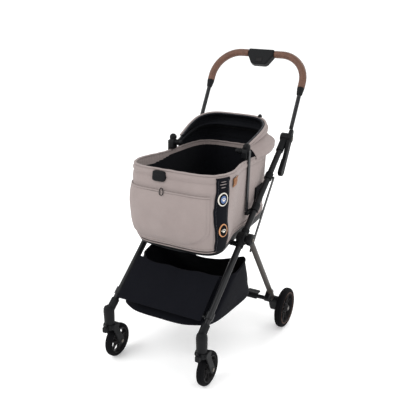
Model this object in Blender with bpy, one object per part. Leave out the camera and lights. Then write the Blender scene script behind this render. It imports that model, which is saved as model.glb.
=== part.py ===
"""Pet stroller: folding frame, lift-off fabric carrier and fan canopy, in metres, front towards -Y."""

import math

import bmesh
import bpy
from mathutils import Matrix, Vector

for thing in list(bpy.data.objects):
    bpy.data.objects.remove(thing, do_unlink=True)

# ---------------------------------------------------------------- driving sizes
HANDLE_BAR_HEIGHT = 1.000
PIVOT_HEIGHT = 0.713
PIVOT_BACK = 0.268
FRONT_LEG_LEAN = math.radians(52.7)
HANDLE_LEAN = math.radians(30.9)
REAR_LEG_LEAN = math.radians(30.3)
LEG_SPACING = 0.362
HUB_DISTANCE = 0.462
CASTER_TOP_HEIGHT = 0.200
CASTER_TRAIL = 0.038
FRONT_WHEEL_RADIUS = 0.061
FRONT_WHEEL_WIDTH = 0.030
REAR_WHEEL_RADIUS = 0.078
REAR_WHEEL_WIDTH = 0.031
REAR_TRACK = 0.548
LEG_TUBE_RADIUS = 0.011
HANDLE_TUBE_RADIUS = 0.008
HANDLE_CORNER_RADIUS = 0.110
GRIP_RADIUS = 0.0142
GRIP_START = 0.205
GRIP_INNER_END = 0.056
CARRIER_FRONT = -0.284
CARRIER_BACK = 0.220
CARRIER_CORNER = 5.2
CARRIER_FLOOR = 0.428
CARRIER_BULGE = 0.020
CARRIER_FLARE = 0.170
RIM_HEIGHT = 0.688
RIM_RISE = 0.012
SHELL_WALL = 0.006
CANOPY_DEPTH = 0.240
CANOPY_CORNER = 4.2
CANOPY_SPREAD = 0.020
CANOPY_BACK_ANGLE = math.radians(73.0)
CANOPY_STEP_ANGLE = math.radians(9.0)
CANOPY_PIVOT_Y = -0.018
CANOPY_PIVOT_RISE = 0.034
BASE_TUBE = 0.0075
BASKET_BOTTOM = 0.166
BASKET_SLOPE = 0.040
BASKET_SET_BACK = 0.020
BASKET_REAR_HEIGHT = 0.350
LINK_COLLAR_DISTANCE = 0.187
LATCH_X = -0.030
LINK_LEVER = 0.066
PANEL_TOP_DISTANCE = 0.628
PANEL_BOTTOM_DISTANCE = 0.800

# ---------------------------------------------------------------- clearances
GAP = 0.0004
RUNNING_GAP = 0.0006
CARRIER_SIDE_GAP = 0.0125
WHEEL_SIDE_GAP = 0.0025
SLEEVE_SIDE_GAP = 0.0015
STRUT_GAP = 0.0022
SADDLE_GAP = 0.0005

# ---------------------------------------------------------------- derived sizes
LEG_X = LEG_SPACING / 2
LEG_OUTER = LEG_X + LEG_TUBE_RADIUS
LEG_INNER = LEG_X - LEG_TUBE_RADIUS
LEG_DOWN = Vector((0, -math.sin(FRONT_LEG_LEAN), -math.cos(FRONT_LEG_LEAN)))
HANDLE_UP = Vector((0, math.sin(HANDLE_LEAN), math.cos(HANDLE_LEAN)))
REAR_DOWN = Vector((0, math.sin(REAR_LEG_LEAN), -math.cos(REAR_LEG_LEAN)))
PIVOT = Vector((0, PIVOT_BACK, PIVOT_HEIGHT))
HUB = PIVOT + LEG_DOWN * HUB_DISTANCE
LEG_LENGTH = (PIVOT_HEIGHT - CASTER_TOP_HEIGHT) / math.cos(FRONT_LEG_LEAN)
CASTER_X = LEG_X + 0.004
CASTER_Y = (PIVOT + LEG_DOWN * LEG_LENGTH).y
REAR_LEG_LENGTH = (HUB.z - REAR_WHEEL_RADIUS) / math.cos(REAR_LEG_LEAN)
REAR_AXLE = HUB + REAR_DOWN * REAR_LEG_LENGTH
REAR_WHEEL_X = REAR_TRACK / 2
FRONT_AXLE = Vector((CASTER_X, CASTER_Y + CASTER_TRAIL, FRONT_WHEEL_RADIUS))
HANDLE_TOP = (HANDLE_BAR_HEIGHT - PIVOT_HEIGHT) / math.cos(HANDLE_LEAN)
HANDLE_X = LEG_X + 0.0155
SLEEVE_INNER = LEG_OUTER + SLEEVE_SIDE_GAP
SLEEVE_OUTER = SLEEVE_INNER + 0.0145
SLEEVE_TOP = 0.036
SLEEVE_TAIL = 0.146
CARRIER_HALF = LEG_INNER - CARRIER_SIDE_GAP
FLARE_START = -0.050
FLARE_SET_BACK = 0.070
CARRIER_MIDDLE = (CARRIER_FRONT + CARRIER_BACK) / 2
CARRIER_LENGTH = CARRIER_BACK - CARRIER_FRONT
BASE_HEIGHT = CARRIER_FLOOR - BASE_TUBE - GAP * 2
SADDLE_TOP = BASE_HEIGHT - BASE_TUBE - SADDLE_GAP
CANOPY_PIVOT = Vector((0, CANOPY_PIVOT_Y, RIM_HEIGHT + CANOPY_PIVOT_RISE))
LINK_INNER = LEG_OUTER + 0.0045
CLAMP_WALL = 0.0042
COLLAR_WALL = 0.0040
LINK_OUTER = LINK_INNER + 0.0040
REAR_LEG_INNER = LINK_OUTER + 0.0012
REAR_LEG_X = REAR_LEG_INNER + 0.0088
REAR_FOOT_X = REAR_TRACK / 2 - REAR_WHEEL_WIDTH / 2 - 0.0255

COLOURS = {
    "frame": ((0.026, 0.026, 0.029), 0.42, 0.55),
    "bronze": ((0.085, 0.078, 0.068), 0.36, 0.85),
    "plastic": ((0.020, 0.020, 0.022), 0.50, 0.0),
    "leather": ((0.205, 0.086, 0.043), 0.58, 0.0),
    "tyre": ((0.016, 0.016, 0.018), 0.80, 0.0),
    "rim": ((0.035, 0.033, 0.033), 0.45, 0.0),
    "beige": ((0.440, 0.355, 0.305), 0.92, 0.0),
    "black_cloth": ((0.014, 0.015, 0.019), 0.90, 0.0),
    "tag": ((0.360, 0.150, 0.045), 0.60, 0.0),
    "axle": ((0.500, 0.500, 0.510), 0.30, 1.0),
}


# ---------------------------------------------------------------- helpers
def material(name, look):
    colour, roughness, metallic = COLOURS[look]
    made = bpy.data.materials.new(name)
    made.use_nodes = True
    shader = made.node_tree.nodes["Principled BSDF"]
    shader.inputs["Base Color"].default_value = (*colour, 1)
    shader.inputs["Roughness"].default_value = roughness
    shader.inputs["Metallic"].default_value = metallic
    return made


def mesh_object(name, points, faces, smooth=True):
    """An object from points and faces, with outward normals and no doubled points."""
    mesh = bpy.data.meshes.new(name)
    mesh.from_pydata([tuple(p) for p in points], [], faces)
    work = bmesh.new()
    work.from_mesh(mesh)
    bmesh.ops.remove_doubles(work, verts=work.verts, dist=1e-6)
    bmesh.ops.recalc_face_normals(work, faces=work.faces)
    work.to_mesh(mesh)
    work.free()
    made = bpy.data.objects.new(name, mesh)
    bpy.context.scene.collection.objects.link(made)
    if smooth:
        for face in mesh.polygons:
            face.use_smooth = True
    return made


def finish(made, name, look, pivot=None):
    """Names a piece, gives it its material and puts its origin on the joint it turns about."""
    made.name = name
    made.data.name = name
    made.data.materials.clear()
    made.data.materials.append(material(name + "_material", look))
    if pivot is not None:
        made.data.transform(Matrix.Translation(-Vector(pivot)))
        made.location = pivot
    return made


def join_rings(rings, closed_rings=True, around=True, caps=True):
    """Faces between rings of equal length; around closes each ring, closed_rings joins last to first."""
    count = len(rings[0])
    points = [p for ring in rings for p in ring]
    faces = []
    spans = len(rings) if closed_rings else len(rings) - 1
    steps = count if around else count - 1
    for i in range(spans):
        for k in range(steps):
            a = i * count + k
            b = i * count + (k + 1) % count
            c = ((i + 1) % len(rings)) * count + (k + 1) % count
            d = ((i + 1) % len(rings)) * count + k
            faces.append((a, b, c, d))
    if caps and not closed_rings:
        faces.append(tuple(range(count)))
        faces.append(tuple((len(rings) - 1) * count + k for k in range(count)))
    return points, faces


def frames_along(path, closed=False):
    """A tangent and two cross directions at each point of a path, turned as little as possible."""
    count = len(path)
    tangents = []
    for i in range(count):
        before = path[i - 1] if closed or i > 0 else path[i]
        after = path[(i + 1) % count] if closed or i < count - 1 else path[i]
        tangents.append((after - before).normalized())
    side = tangents[0].orthogonal().normalized()
    if abs(tangents[0].x) < 0.9:
        side = (Vector((1, 0, 0)) - tangents[0] * tangents[0].x).normalized()
    frames = []
    for tangent in tangents:
        side = (side - tangent * side.dot(tangent)).normalized()
        frames.append((tangent, side, tangent.cross(side)))
    return frames


def sweep(name, path, wide, high=None, sides=12, closed=False, bore=None):
    """A round or oval tube along a path, solid or with a through bore."""
    high = wide if high is None else high
    rings = []
    for point, (_, side, up) in zip(path, frames_along(path, closed)):
        ring = []
        for k in range(sides):
            turn = 2 * math.pi * (k + 0.5) / sides
            ring.append(point + side * wide * math.cos(turn) + up * high * math.sin(turn))
        rings.append(ring)
    if bore is None:
        return mesh_object(name, *join_rings(rings, closed_rings=closed))
    inner = []
    for point, (_, side, up) in zip(path, frames_along(path, closed)):
        ring = []
        for k in range(sides):
            turn = 2 * math.pi * (k + 0.5) / sides
            ring.append(point + side * bore * math.cos(turn) + up * bore * math.sin(turn))
        inner.append(ring)
    loop = rings + inner[::-1]
    return mesh_object(name, *join_rings(loop, closed_rings=True))


def rod(name, start, end, radius, sides=16, end_radius=None):
    """A straight round bar between two points."""
    start = Vector(start)
    end = Vector(end)
    end_radius = radius if end_radius is None else end_radius
    tangent = (end - start).normalized()
    side = tangent.orthogonal().normalized()
    up = tangent.cross(side)
    rings = []
    for point, size in ((start, radius), (end, end_radius)):
        ring = []
        for k in range(sides):
            turn = 2 * math.pi * k / sides
            ring.append(point + side * size * math.cos(turn) + up * size * math.sin(turn))
        rings.append(ring)
    return mesh_object(name, *join_rings(rings, closed_rings=False))


def lathe(name, profile, centre, axis, sides=16, closed=False):
    """A turned body: profile pairs are (distance along the axis, radius), round a centre."""
    centre = Vector(centre)
    axis = Vector(axis).normalized()
    side = axis.orthogonal().normalized()
    up = axis.cross(side)
    rings = []
    for k in range(sides):
        turn = 2 * math.pi * k / sides
        out = side * math.cos(turn) + up * math.sin(turn)
        rings.append([centre + axis * along + out * radius for along, radius in profile])
    if closed:
        return mesh_object(name, *join_rings(rings, closed_rings=True, around=True))
    points, faces = join_rings(rings, closed_rings=True, around=False)
    return mesh_object(name, points, faces)


def outline_block(name, outline, low, high, bevel=0.0, segments=1):
    """A flat outline in the Y-Z plane given thickness along X, with softened edges."""
    count = len(outline)
    points = [(low, y, z) for y, z in outline] + [(high, y, z) for y, z in outline]
    faces = [tuple(range(count)), tuple(range(count, 2 * count))]
    for k in range(count):
        faces.append((k, (k + 1) % count, count + (k + 1) % count, count + k))
    made = mesh_object(name, points, faces, smooth=False)
    if bevel:
        soften(made, bevel, segments)
    return made


def box(name, low, high, bevel=0.0, segments=1):
    """A block between two corners, with softened edges."""
    outline = [(low[1], low[2]), (high[1], low[2]), (high[1], high[2]), (low[1], high[2])]
    return outline_block(name, outline, low[0], high[0], bevel, segments)


def soften(made, width, segments=1):
    """Rounds the sharp edges of a piece in its own mesh."""
    work = bmesh.new()
    work.from_mesh(made.data)
    sharp = [e for e in work.edges if len(e.link_faces) == 2 and e.calc_face_angle() > math.radians(28)]
    bmesh.ops.bevel(
        work, geom=sharp, offset=width, segments=segments, profile=0.5, affect="EDGES", clamp_overlap=True
    )
    bmesh.ops.remove_doubles(work, verts=work.verts, dist=1e-6)
    bmesh.ops.recalc_face_normals(work, faces=work.faces)
    work.to_mesh(made.data)
    work.free()


def baked(made):
    """The piece with its modifiers applied to its mesh."""
    graph = bpy.context.evaluated_depsgraph_get()
    mesh = bpy.data.meshes.new_from_object(made.evaluated_get(graph))
    made.modifiers.clear()
    made.data = mesh
    return made


def combine(made, tool, operation):
    """Joins, cuts or intersects a piece with a tool shape, which is then removed."""
    tool.hide_render = True
    tool.display_type = "WIRE"
    change = made.modifiers.new(operation.lower(), "BOOLEAN")
    change.operation = operation
    change.solver = "EXACT"
    change.object = tool
    baked(made)
    bpy.data.objects.remove(tool, do_unlink=True)
    return made


def cut(made, *tools):
    for tool in tools:
        combine(made, tool, "DIFFERENCE")
    return made


def weld(made, *tools):
    for tool in tools:
        combine(made, tool, "UNION")
    return made


def shade(made, angle=32):
    """Smooth shading with crisp edges where faces meet sharply."""
    made.data.shade_smooth()
    work = bmesh.new()
    work.from_mesh(made.data)
    for edge in work.edges:
        if len(edge.link_faces) == 2:
            edge.smooth = edge.calc_face_angle() < math.radians(angle)
    work.to_mesh(made.data)
    work.free()
    return made


def hull_outline(circles, steps=10):
    """The outline round a row of circles in the Y-Z plane: each is (y, z, radius)."""
    points = []
    for y, z, radius in circles:
        for k in range(steps):
            turn = 2 * math.pi * k / steps
            points.append((y + radius * math.cos(turn), z + radius * math.sin(turn)))
    points = sorted(set((round(y, 7), round(z, 7)) for y, z in points))

    def half(row):
        chain = []
        for p in row:
            while len(chain) > 1 and turned(chain[-2], chain[-1], p) <= 1e-12:
                chain.pop()
            chain.append(p)
        return chain[:-1]

    return half(points) + half(points[::-1])


def turned(a, b, c):
    return (b[0] - a[0]) * (c[1] - a[1]) - (b[1] - a[1]) * (c[0] - a[0])


def at(point, x):
    return Vector((x, point.y, point.z))


def sided(side):
    return "R" if side > 0 else "L"


def rounded_ring(half_x, front, back, z_front, z_back, power, count):
    """A closed ring of evenly spaced points: an oblong whose corners are rounder for a lower power."""
    middle = (front + back) / 2
    half_y = (back - front) / 2
    fine = []
    for k in range(count * 24):
        turn = 2 * math.pi * k / (count * 24)
        c = math.cos(turn)
        s = math.sin(turn)
        x = half_x * math.copysign(abs(c) ** (2 / power), c)
        y = middle + half_y * math.copysign(abs(s) ** (2 / power), s)
        share = (y - front) / (back - front)
        fine.append(Vector((x, y, z_front + (z_back - z_front) * share)))
    lengths = [0.0]
    for k, point in enumerate(fine):
        step = fine[(k + 1) % len(fine)] - point
        lengths.append(lengths[-1] + math.hypot(step.x, step.y))
    ring = []
    k = 0
    for i in range(count):
        goal = lengths[-1] * (i + 0.5) / count
        while lengths[k + 1] < goal:
            k += 1
        share = (goal - lengths[k]) / (lengths[k + 1] - lengths[k])
        ring.append(fine[k].lerp(fine[(k + 1) % len(fine)], share))
    return ring


# ---------------------------------------------------------------- fixed frame
def build_front_leg(side):
    """One straight tube from the fold pivot down to the caster housing."""
    x = side * LEG_X
    top = at(PIVOT + LEG_DOWN * 0.030, x)
    foot = at(PIVOT + LEG_DOWN * (LEG_LENGTH - 0.004), x)
    tube = rod("front_leg_" + sided(side), top, foot, LEG_TUBE_RADIUS, 20)
    return finish(shade(tube), "front_leg_" + sided(side), "frame")


def build_top_pivot(side):
    """The moulded head of the front leg: a sleeve over the tube and a round boss for the handle."""
    x = side * LEG_X
    name = "top_pivot_" + sided(side)
    sleeve = rod(name, at(PIVOT + LEG_DOWN * 0.004, x), at(PIVOT + LEG_DOWN * 0.066, x), 0.0144, 20)
    inner = x - side * 0.0150
    outer = side * (SLEEVE_INNER - GAP)
    boss = lathe("boss", [(0, 0), (0, 0.0175), (0.002, 0.0195), (0.0245, 0.0195), (0.0265, 0.0175),
                          (0.0265, 0)],
                 at(PIVOT, inner), (side, 0, 0), 16)
    boss_length = abs(outer - inner)
    for vertex in boss.data.vertices:
        vertex.co.x = inner + (vertex.co.x - inner) * boss_length / 0.0265
    weld(sleeve, boss)
    flat = side * (SLEEVE_INNER - GAP)
    limit = box("limit", (min(flat, flat + side * 0.05), PIVOT.y - 0.15, PIVOT.z - 0.15),
                (max(flat, flat + side * 0.05), PIVOT.y + 0.1, PIVOT.z + 0.1))
    cut(sleeve, limit)
    bore = rod("bore", at(PIVOT + LEG_DOWN * 0.0296, x), at(PIVOT + LEG_DOWN * 0.09, x),
               LEG_TUBE_RADIUS + GAP, 20)
    cut(sleeve, bore)
    return finish(shade(sleeve), name, "plastic")


def build_hub_housing(side):
    """The moulded cross-over joint on the front leg that carries the rear leg's pivot."""
    x = side * LEG_X
    name = "hub_housing_" + sided(side)
    low = x - side * 0.0170
    high = side * (LINK_INNER - 0.0012)
    body = lathe(name, [(0, 0), (0, 0.019), (0.003, 0.0225), (0.0275, 0.0225), (0.0305, 0.020), (0.0305, 0)],
                 at(HUB, low), (side, 0, 0), 16)
    for vertex in body.data.vertices:
        vertex.co.x = low + (vertex.co.x - low) * abs(high - low) / 0.0305
    sleeve = rod("sleeve", at(HUB - LEG_DOWN * 0.036, x), at(HUB + LEG_DOWN * 0.036, x), 0.0142, 20)
    weld(body, sleeve)
    boss = rod("boss", at(HUB, high - side * 0.004), at(HUB, side * (REAR_LEG_INNER - GAP)), 0.0105, 14)
    weld(body, boss)
    far = x - side * 0.044
    near = low + side * 0.004
    saddle = box("saddle", (min(far, near), HUB.y - 0.014, SADDLE_TOP - 0.0085),
                 (max(far, near), HUB.y + 0.014, SADDLE_TOP), 0.0015)
    weld(body, saddle)
    near = low + side * 0.006
    far = low - side * 0.001
    web = box("web", (min(far, near), HUB.y - 0.012, SADDLE_TOP - 0.0070),
              (max(far, near), HUB.y + 0.012, HUB.z - 0.010))
    weld(body, web)
    bore = rod("bore", at(HUB - LEG_DOWN * 0.08, x), at(HUB + LEG_DOWN * 0.08, x), LEG_TUBE_RADIUS + GAP, 20)
    cut(body, bore)
    return finish(shade(body), name, "plastic")


def build_caster_housing(side):
    """The upright swivel housing at the foot of the front leg, with a short socket for the tube."""
    name = "caster_housing_" + sided(side)
    x = side * CASTER_X
    foot = CASTER_TOP_HEIGHT
    profile = [(0.0, 0.0), (0.0, 0.0165), (0.003, 0.0185), (0.050, 0.0195), (0.060, 0.0185), (0.066, 0.0155),
               (0.070, 0.0095), (0.0715, 0.0)]
    post = lathe(name, profile, (x, CASTER_Y, foot - 0.052), (0, 0, 1), 20)
    leg_x = side * LEG_X
    end = PIVOT + LEG_DOWN * LEG_LENGTH
    socket = rod("socket", at(end - LEG_DOWN * 0.046, leg_x), at(end, leg_x), 0.0146, 20)
    weld(post, socket)
    bore = rod("bore", at(end - LEG_DOWN * 0.08, leg_x), at(end - LEG_DOWN * 0.0034, leg_x),
               LEG_TUBE_RADIUS + GAP, 20)
    cut(post, bore)
    return finish(shade(post), name, "plastic")


def build_front_crossbar():
    """The oval brace between the front legs, behind the lower edge of the basket's front panel."""
    centre = PIVOT + LEG_DOWN * 0.770 + Vector((0, 0.0, 0.0))
    reach = LEG_X - LEG_TUBE_RADIUS - 0.0040
    tube = rod("front_crossbar", at(centre, -reach), at(centre, reach), 0.0080, 18)
    for side in (-1, 1):
        ring = rod("clamp", at(centre - LEG_DOWN * 0.012, side * LEG_X),
                   at(centre + LEG_DOWN * 0.012, side * LEG_X),
                   LEG_TUBE_RADIUS + CLAMP_WALL, 20)
        weld(tube, ring)
        bore = rod("bore", at(centre - LEG_DOWN * 0.03, side * LEG_X),
                   at(centre + LEG_DOWN * 0.03, side * LEG_X),
                   LEG_TUBE_RADIUS + GAP, 20)
        cut(tube, bore)
    return finish(shade(tube), "front_crossbar", "frame")


STRUT_Y = CANOPY_PIVOT_Y - 0.012
BRACKET_HEIGHT = 0.513
BRACKET_DISTANCE = (PIVOT_HEIGHT - BRACKET_HEIGHT) / math.cos(FRONT_LEG_LEAN)


def build_seat_bracket(side):
    """The clip on the front leg whose shelf the carrier's upright rests on."""
    name = "seat_bracket_" + sided(side)
    x = side * LEG_X
    centre = PIVOT + LEG_DOWN * BRACKET_DISTANCE
    ring = rod(name, at(centre - LEG_DOWN * 0.015, x), at(centre + LEG_DOWN * 0.015, x), 0.0148, 20)
    inner = side * (CARRIER_HALF + STRUT_GAP)
    arm_outer = x - side * 0.0080
    low_y = STRUT_Y - 0.012
    arm = box("arm", (min(inner, arm_outer), low_y, centre.z - 0.016),
              (max(inner, arm_outer), centre.y + 0.004,
              centre.z - 0.0040), 0.0015)
    weld(ring, arm)
    bore = rod("bore", at(centre - LEG_DOWN * 0.05, x), at(centre + LEG_DOWN * 0.05, x),
               LEG_TUBE_RADIUS + GAP, 20)
    cut(ring, bore)
    return finish(shade(ring), name, "plastic")


def build_basket_panel():
    """The cloth panel stretched between the front legs, on their front side."""
    top = PIVOT + LEG_DOWN * PANEL_TOP_DISTANCE
    bottom = PIVOT + LEG_DOWN * PANEL_BOTTOM_DISTANCE
    lift = Vector((0, -math.cos(FRONT_LEG_LEAN), math.sin(FRONT_LEG_LEAN)))
    reach = LEG_INNER - 0.007
    rows = 3
    columns = 8
    outer = []
    inner = []
    for i in range(rows + 1):
        share = i / rows
        for k in range(columns + 1):
            across = -1 + 2 * k / columns
            sag = 0.006 * (1 - across * across) * (1 - share)
            base = top + (bottom - top) * share + LEG_DOWN * sag
            point = Vector((reach * across, base.y, base.z))
            outer.append(point + lift * (LEG_TUBE_RADIUS + 0.0075))
            inner.append(point + lift * (LEG_TUBE_RADIUS + 0.0040))
    return grid_slab("basket_panel", outer, inner, rows, columns, "black_cloth")


def grid_slab(name, outer, inner, rows, columns, look):
    """Two matching grids of points closed round their edges into one slab."""
    count = len(outer)
    faces = []
    width = columns + 1
    for i in range(rows):
        for k in range(columns):
            a = i * width + k
            faces.append((a, a + 1, a + width + 1, a + width))
            faces.append((count + a, count + a + width, count + a + width + 1, count + a + 1))
    edge = list(range(width))
    edge += [i * width + columns for i in range(1, rows + 1)]
    edge += [rows * width + k for k in range(columns - 1, -1, -1)]
    edge += [i * width for i in range(rows - 1, 0, -1)]
    for k in range(len(edge)):
        a = edge[k]
        b = edge[(k + 1) % len(edge)]
        faces.append((a, b, count + b, count + a))
    made = mesh_object(name, outer + inner, faces)
    return finish(shade(made, 50), name, look)


def basket_ring(depth, inset, count):
    """One level of the storage tub: it passes between the front legs and widens behind them."""
    front_z = (PIVOT + LEG_DOWN * PANEL_TOP_DISTANCE).z - 0.010
    level = front_z + (BASKET_BOTTOM + BASKET_SLOPE - front_z) * depth
    front = PIVOT_BACK - (PIVOT_HEIGHT - level) * math.tan(FRONT_LEG_LEAN) + BASKET_SET_BACK + inset
    level = BASKET_REAR_HEIGHT + (BASKET_BOTTOM - BASKET_REAR_HEIGHT) * depth
    back = HUB.y + (HUB.z - level) * math.tan(REAR_LEG_LEAN) - 0.010 - inset
    narrow = LEG_INNER - 0.008 - inset
    wide = REAR_LEG_INNER - 0.012 - inset
    ring = rounded_ring(1.0, front, back, 0, 0, 6.0 - 1.5 * depth, count)
    made = []
    for p in ring:
        share = (p.y - front) / (back - front)
        top = front_z + (BASKET_REAR_HEIGHT - front_z) * share ** 2
        if share > 0.9:
            top -= 0.050 * (1 - min(1.0, abs(p.x) / 0.92) ** 2)
        floor = BASKET_BOTTOM + BASKET_SLOPE * (1 - share)
        z = top + (floor + inset - top) * depth
        leg_y = PIVOT_BACK - (PIVOT_HEIGHT - z) * math.tan(FRONT_LEG_LEAN)
        clear = min(1.0, max(0.0, (p.y - leg_y - 0.030) / 0.050))
        half = narrow + (wide - narrow) * clear * clear * (3 - 2 * clear) - 0.006 * depth ** 2
        made.append(Vector((p.x * half, p.y, z)))
    return made


def build_storage_basket():
    """The open cloth tub slung between the front panel and the rear legs."""
    rows = 5
    count = 28
    wall = 0.0030
    outer = [basket_ring(k / rows, 0.0, count) for k in range(rows + 1)]
    inner = [basket_ring(k / rows, wall, count) for k in range(rows + 1)]
    points, faces = join_rings(outer[::-1] + inner, closed_rings=False)
    made = mesh_object("storage_basket", points, faces)
    return finish(shade(made, 50), "storage_basket", "black_cloth")


# ---------------------------------------------------------------- rear frame
def build_rear_leg(side):
    """The oval rear leg, from its round knuckle at the hub down to the axle block."""
    name = "rear_leg_" + sided(side)
    x = side * REAR_LEG_X
    foot_x = side * REAR_FOOT_X
    start = at(HUB, x)
    end = at(HUB + REAR_DOWN * (REAR_LEG_LENGTH - 0.044), foot_x)
    path = [start + (end - start) * share for share in (0.0, 0.25, 0.5, 0.75, 1.0)]
    tube = sweep(name, path, 0.0085, 0.0125, 14)
    inner = side * REAR_LEG_INNER
    knuckle = lathe("knuckle", [(0, 0), (0, 0.0195), (0.0025, 0.0215), (0.0150, 0.0215), (0.0185, 0.0180),
                                (0.0200, 0.0120), (0.0205, 0)], at(HUB, inner), (side, 0, 0), 16)
    weld(tube, knuckle)
    flat = inner
    limit = box("limit", (min(flat, flat - side * 0.05), HUB.y - 0.06, HUB.z - 0.16),
                (max(flat, flat - side * 0.05), HUB.y + 0.12, HUB.z + 0.06))
    cut(tube, limit)
    return finish(shade(tube), name, "bronze", at(HUB, x))


def build_axle_block(side):
    """The moulded block at the rear leg's foot, with the wheel's steel-look axle stub."""
    name = "axle_block_" + sided(side)
    outer = REAR_WHEEL_X - REAR_WHEEL_WIDTH / 2 - WHEEL_SIDE_GAP
    inner = outer - 0.037
    top = HUB + REAR_DOWN * (REAR_LEG_LENGTH - 0.0436)
    circles = [(REAR_AXLE.y, REAR_AXLE.z, 0.0195), (top.y, top.z, 0.0150)]
    block = outline_block(name, hull_outline(circles, 10), side * inner, side * outer, 0.003)
    socket_x = side * REAR_FOOT_X
    start = at(HUB, side * REAR_LEG_X)
    end = at(HUB + REAR_DOWN * (REAR_LEG_LENGTH - 0.0440), socket_x)
    direction = (end - start).normalized()
    path = [end - direction * 0.08, end - direction * 0.04, end + direction * 0.0004]
    bore = sweep("bore", path, 0.0085 + GAP, 0.0125 + GAP, 14)
    cut(block, bore)
    stub = rod("stub", at(REAR_AXLE, side * (outer - 0.006)), at(REAR_AXLE, side * (REAR_WHEEL_X + 0.0105)),
               0.0052, 20)
    weld(block, stub)
    return finish(shade(block), name, "plastic", at(HUB, side * REAR_LEG_X))


CROSS_UP = 0.082
CROSS_FORWARD = 0.026


def cross_centre():
    forward = Vector((0, -math.cos(REAR_LEG_LEAN), -math.sin(REAR_LEG_LEAN)))
    return HUB + REAR_DOWN * (REAR_LEG_LENGTH - CROSS_UP) + forward * CROSS_FORWARD


def rear_leg_line():
    """Start and end of the rear leg's centre line on the right side."""
    return at(HUB, REAR_LEG_X), at(HUB + REAR_DOWN * (REAR_LEG_LENGTH - 0.044), REAR_FOOT_X)


def build_rear_crossbar():
    """The brace between the rear legs, held by an ear at each end."""
    centre = cross_centre()
    start, end = rear_leg_line()
    leg = start + (end - start) * (REAR_LEG_LENGTH - CROSS_UP) / (REAR_LEG_LENGTH - 0.044)
    reach = leg.x - 0.0105
    tube = rod("rear_crossbar", at(centre, -reach), at(centre, reach), 0.0080, 18)
    for side in (-1, 1):
        circles = [(centre.y, centre.z, 0.0115), (leg.y, leg.z, 0.0165)]
        ear = outline_block("ear", hull_outline(circles, 10), side * (leg.x - 0.0150),
                            side * (leg.x + 0.0060), 0.002)
        weld(tube, ear)
        flip = Vector((side, 1, 1))
        direction = (end - start).normalized()
        path = [(end + direction * step) * flip for step in (-0.09, -0.04, 0.06)]
        cut(tube, sweep("bore", path, 0.0085 + GAP, 0.0125 + GAP, 14))
    return finish(shade(tube), "rear_crossbar", "frame", HUB)


def build_brake_pedal():
    """The foot brake: a shoe-shaped pedal clipped round the rear brace."""
    centre = cross_centre()
    low = 0.128
    high = 0.184
    outline = hull_outline([(centre.y, centre.z, 0.0125), (centre.y + 0.001, centre.z, 0.0125)], 20)
    hoop = outline_block("brake_pedal", outline, low, high, 0.002)
    tread = box("tread", (low + 0.004, centre.y + 0.004, centre.z - 0.0040),
                (high - 0.004, centre.y + 0.042, centre.z + 0.0035), 0.002)
    weld(hoop, tread)
    cut(hoop, rod("bore", at(centre, low - 0.02), at(centre, high + 0.02), 0.0080 + RUNNING_GAP, 18))
    return finish(shade(hoop), "brake_pedal", "plastic", centre)


# ---------------------------------------------------------------- wheels
def build_tyre(name, centre, radius, width, inner):
    """A solid tyre with a crowned tread."""
    half = width / 2
    profile = [(-half + 0.003, inner), (half - 0.003, inner), (half, radius - 0.010),
               (half - 0.0045, radius - 0.002),
               (0, radius), (-half + 0.0045, radius - 0.002), (-half, radius - 0.010)]
    made = lathe(name, profile, centre, (1, 0, 0), 24, closed=True)
    return finish(shade(made, 40), name, "tyre", centre)


def build_rim(name, centre, outer, width, bore, spokes):
    """A moulded wheel centre: rim ring, flat spokes and a hub with a through bore."""
    half = width / 2
    web = 0.0055
    ring = 0.0065
    profile = [(-half - 0.0015, bore), (half + 0.0015, bore), (half + 0.0015, 0.0125), (web, 0.0155),
               (web, outer - ring), (half - 0.003, outer), (-half + 0.003, outer), (-web, outer - ring),
               (-web, 0.0155), (-half - 0.0015, 0.0125)]
    made = lathe(name, profile, centre, (1, 0, 0), 24, closed=True)
    centre = Vector(centre)
    inner_radius = 0.0185
    outer_radius = outer - ring - 0.0015
    points = []
    faces = []
    for k in range(spokes):
        base = 2 * math.pi * k / spokes
        spoke = 0.0042
        spread_in = math.pi / spokes - spoke / inner_radius
        spread_out = math.pi / spokes - spoke / outer_radius
        corners = []
        for radius, spread in ((inner_radius, spread_in), (outer_radius, spread_out)):
            turns = (-1.0, 1.0) if radius == inner_radius else (1.0, -1.0)
            for t in turns:
                angle = base + t * spread
                corners.append((radius * math.cos(angle), radius * math.sin(angle)))
        first = len(points)
        n = len(corners)
        for x in (-half, half):
            points += [(centre.x + x, centre.y + y, centre.z + z) for y, z in corners]
        faces.append(tuple(first + i for i in range(n)))
        faces.append(tuple(first + n + i for i in reversed(range(n))))
        for i in range(n):
            faces.append((first + i, first + n + i, first + n + (i + 1) % n, first + (i + 1) % n))
    windows = mesh_object("windows", points, faces)
    cut(made, windows)
    return finish(shade(made, 30), name, "rim", centre)


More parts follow.
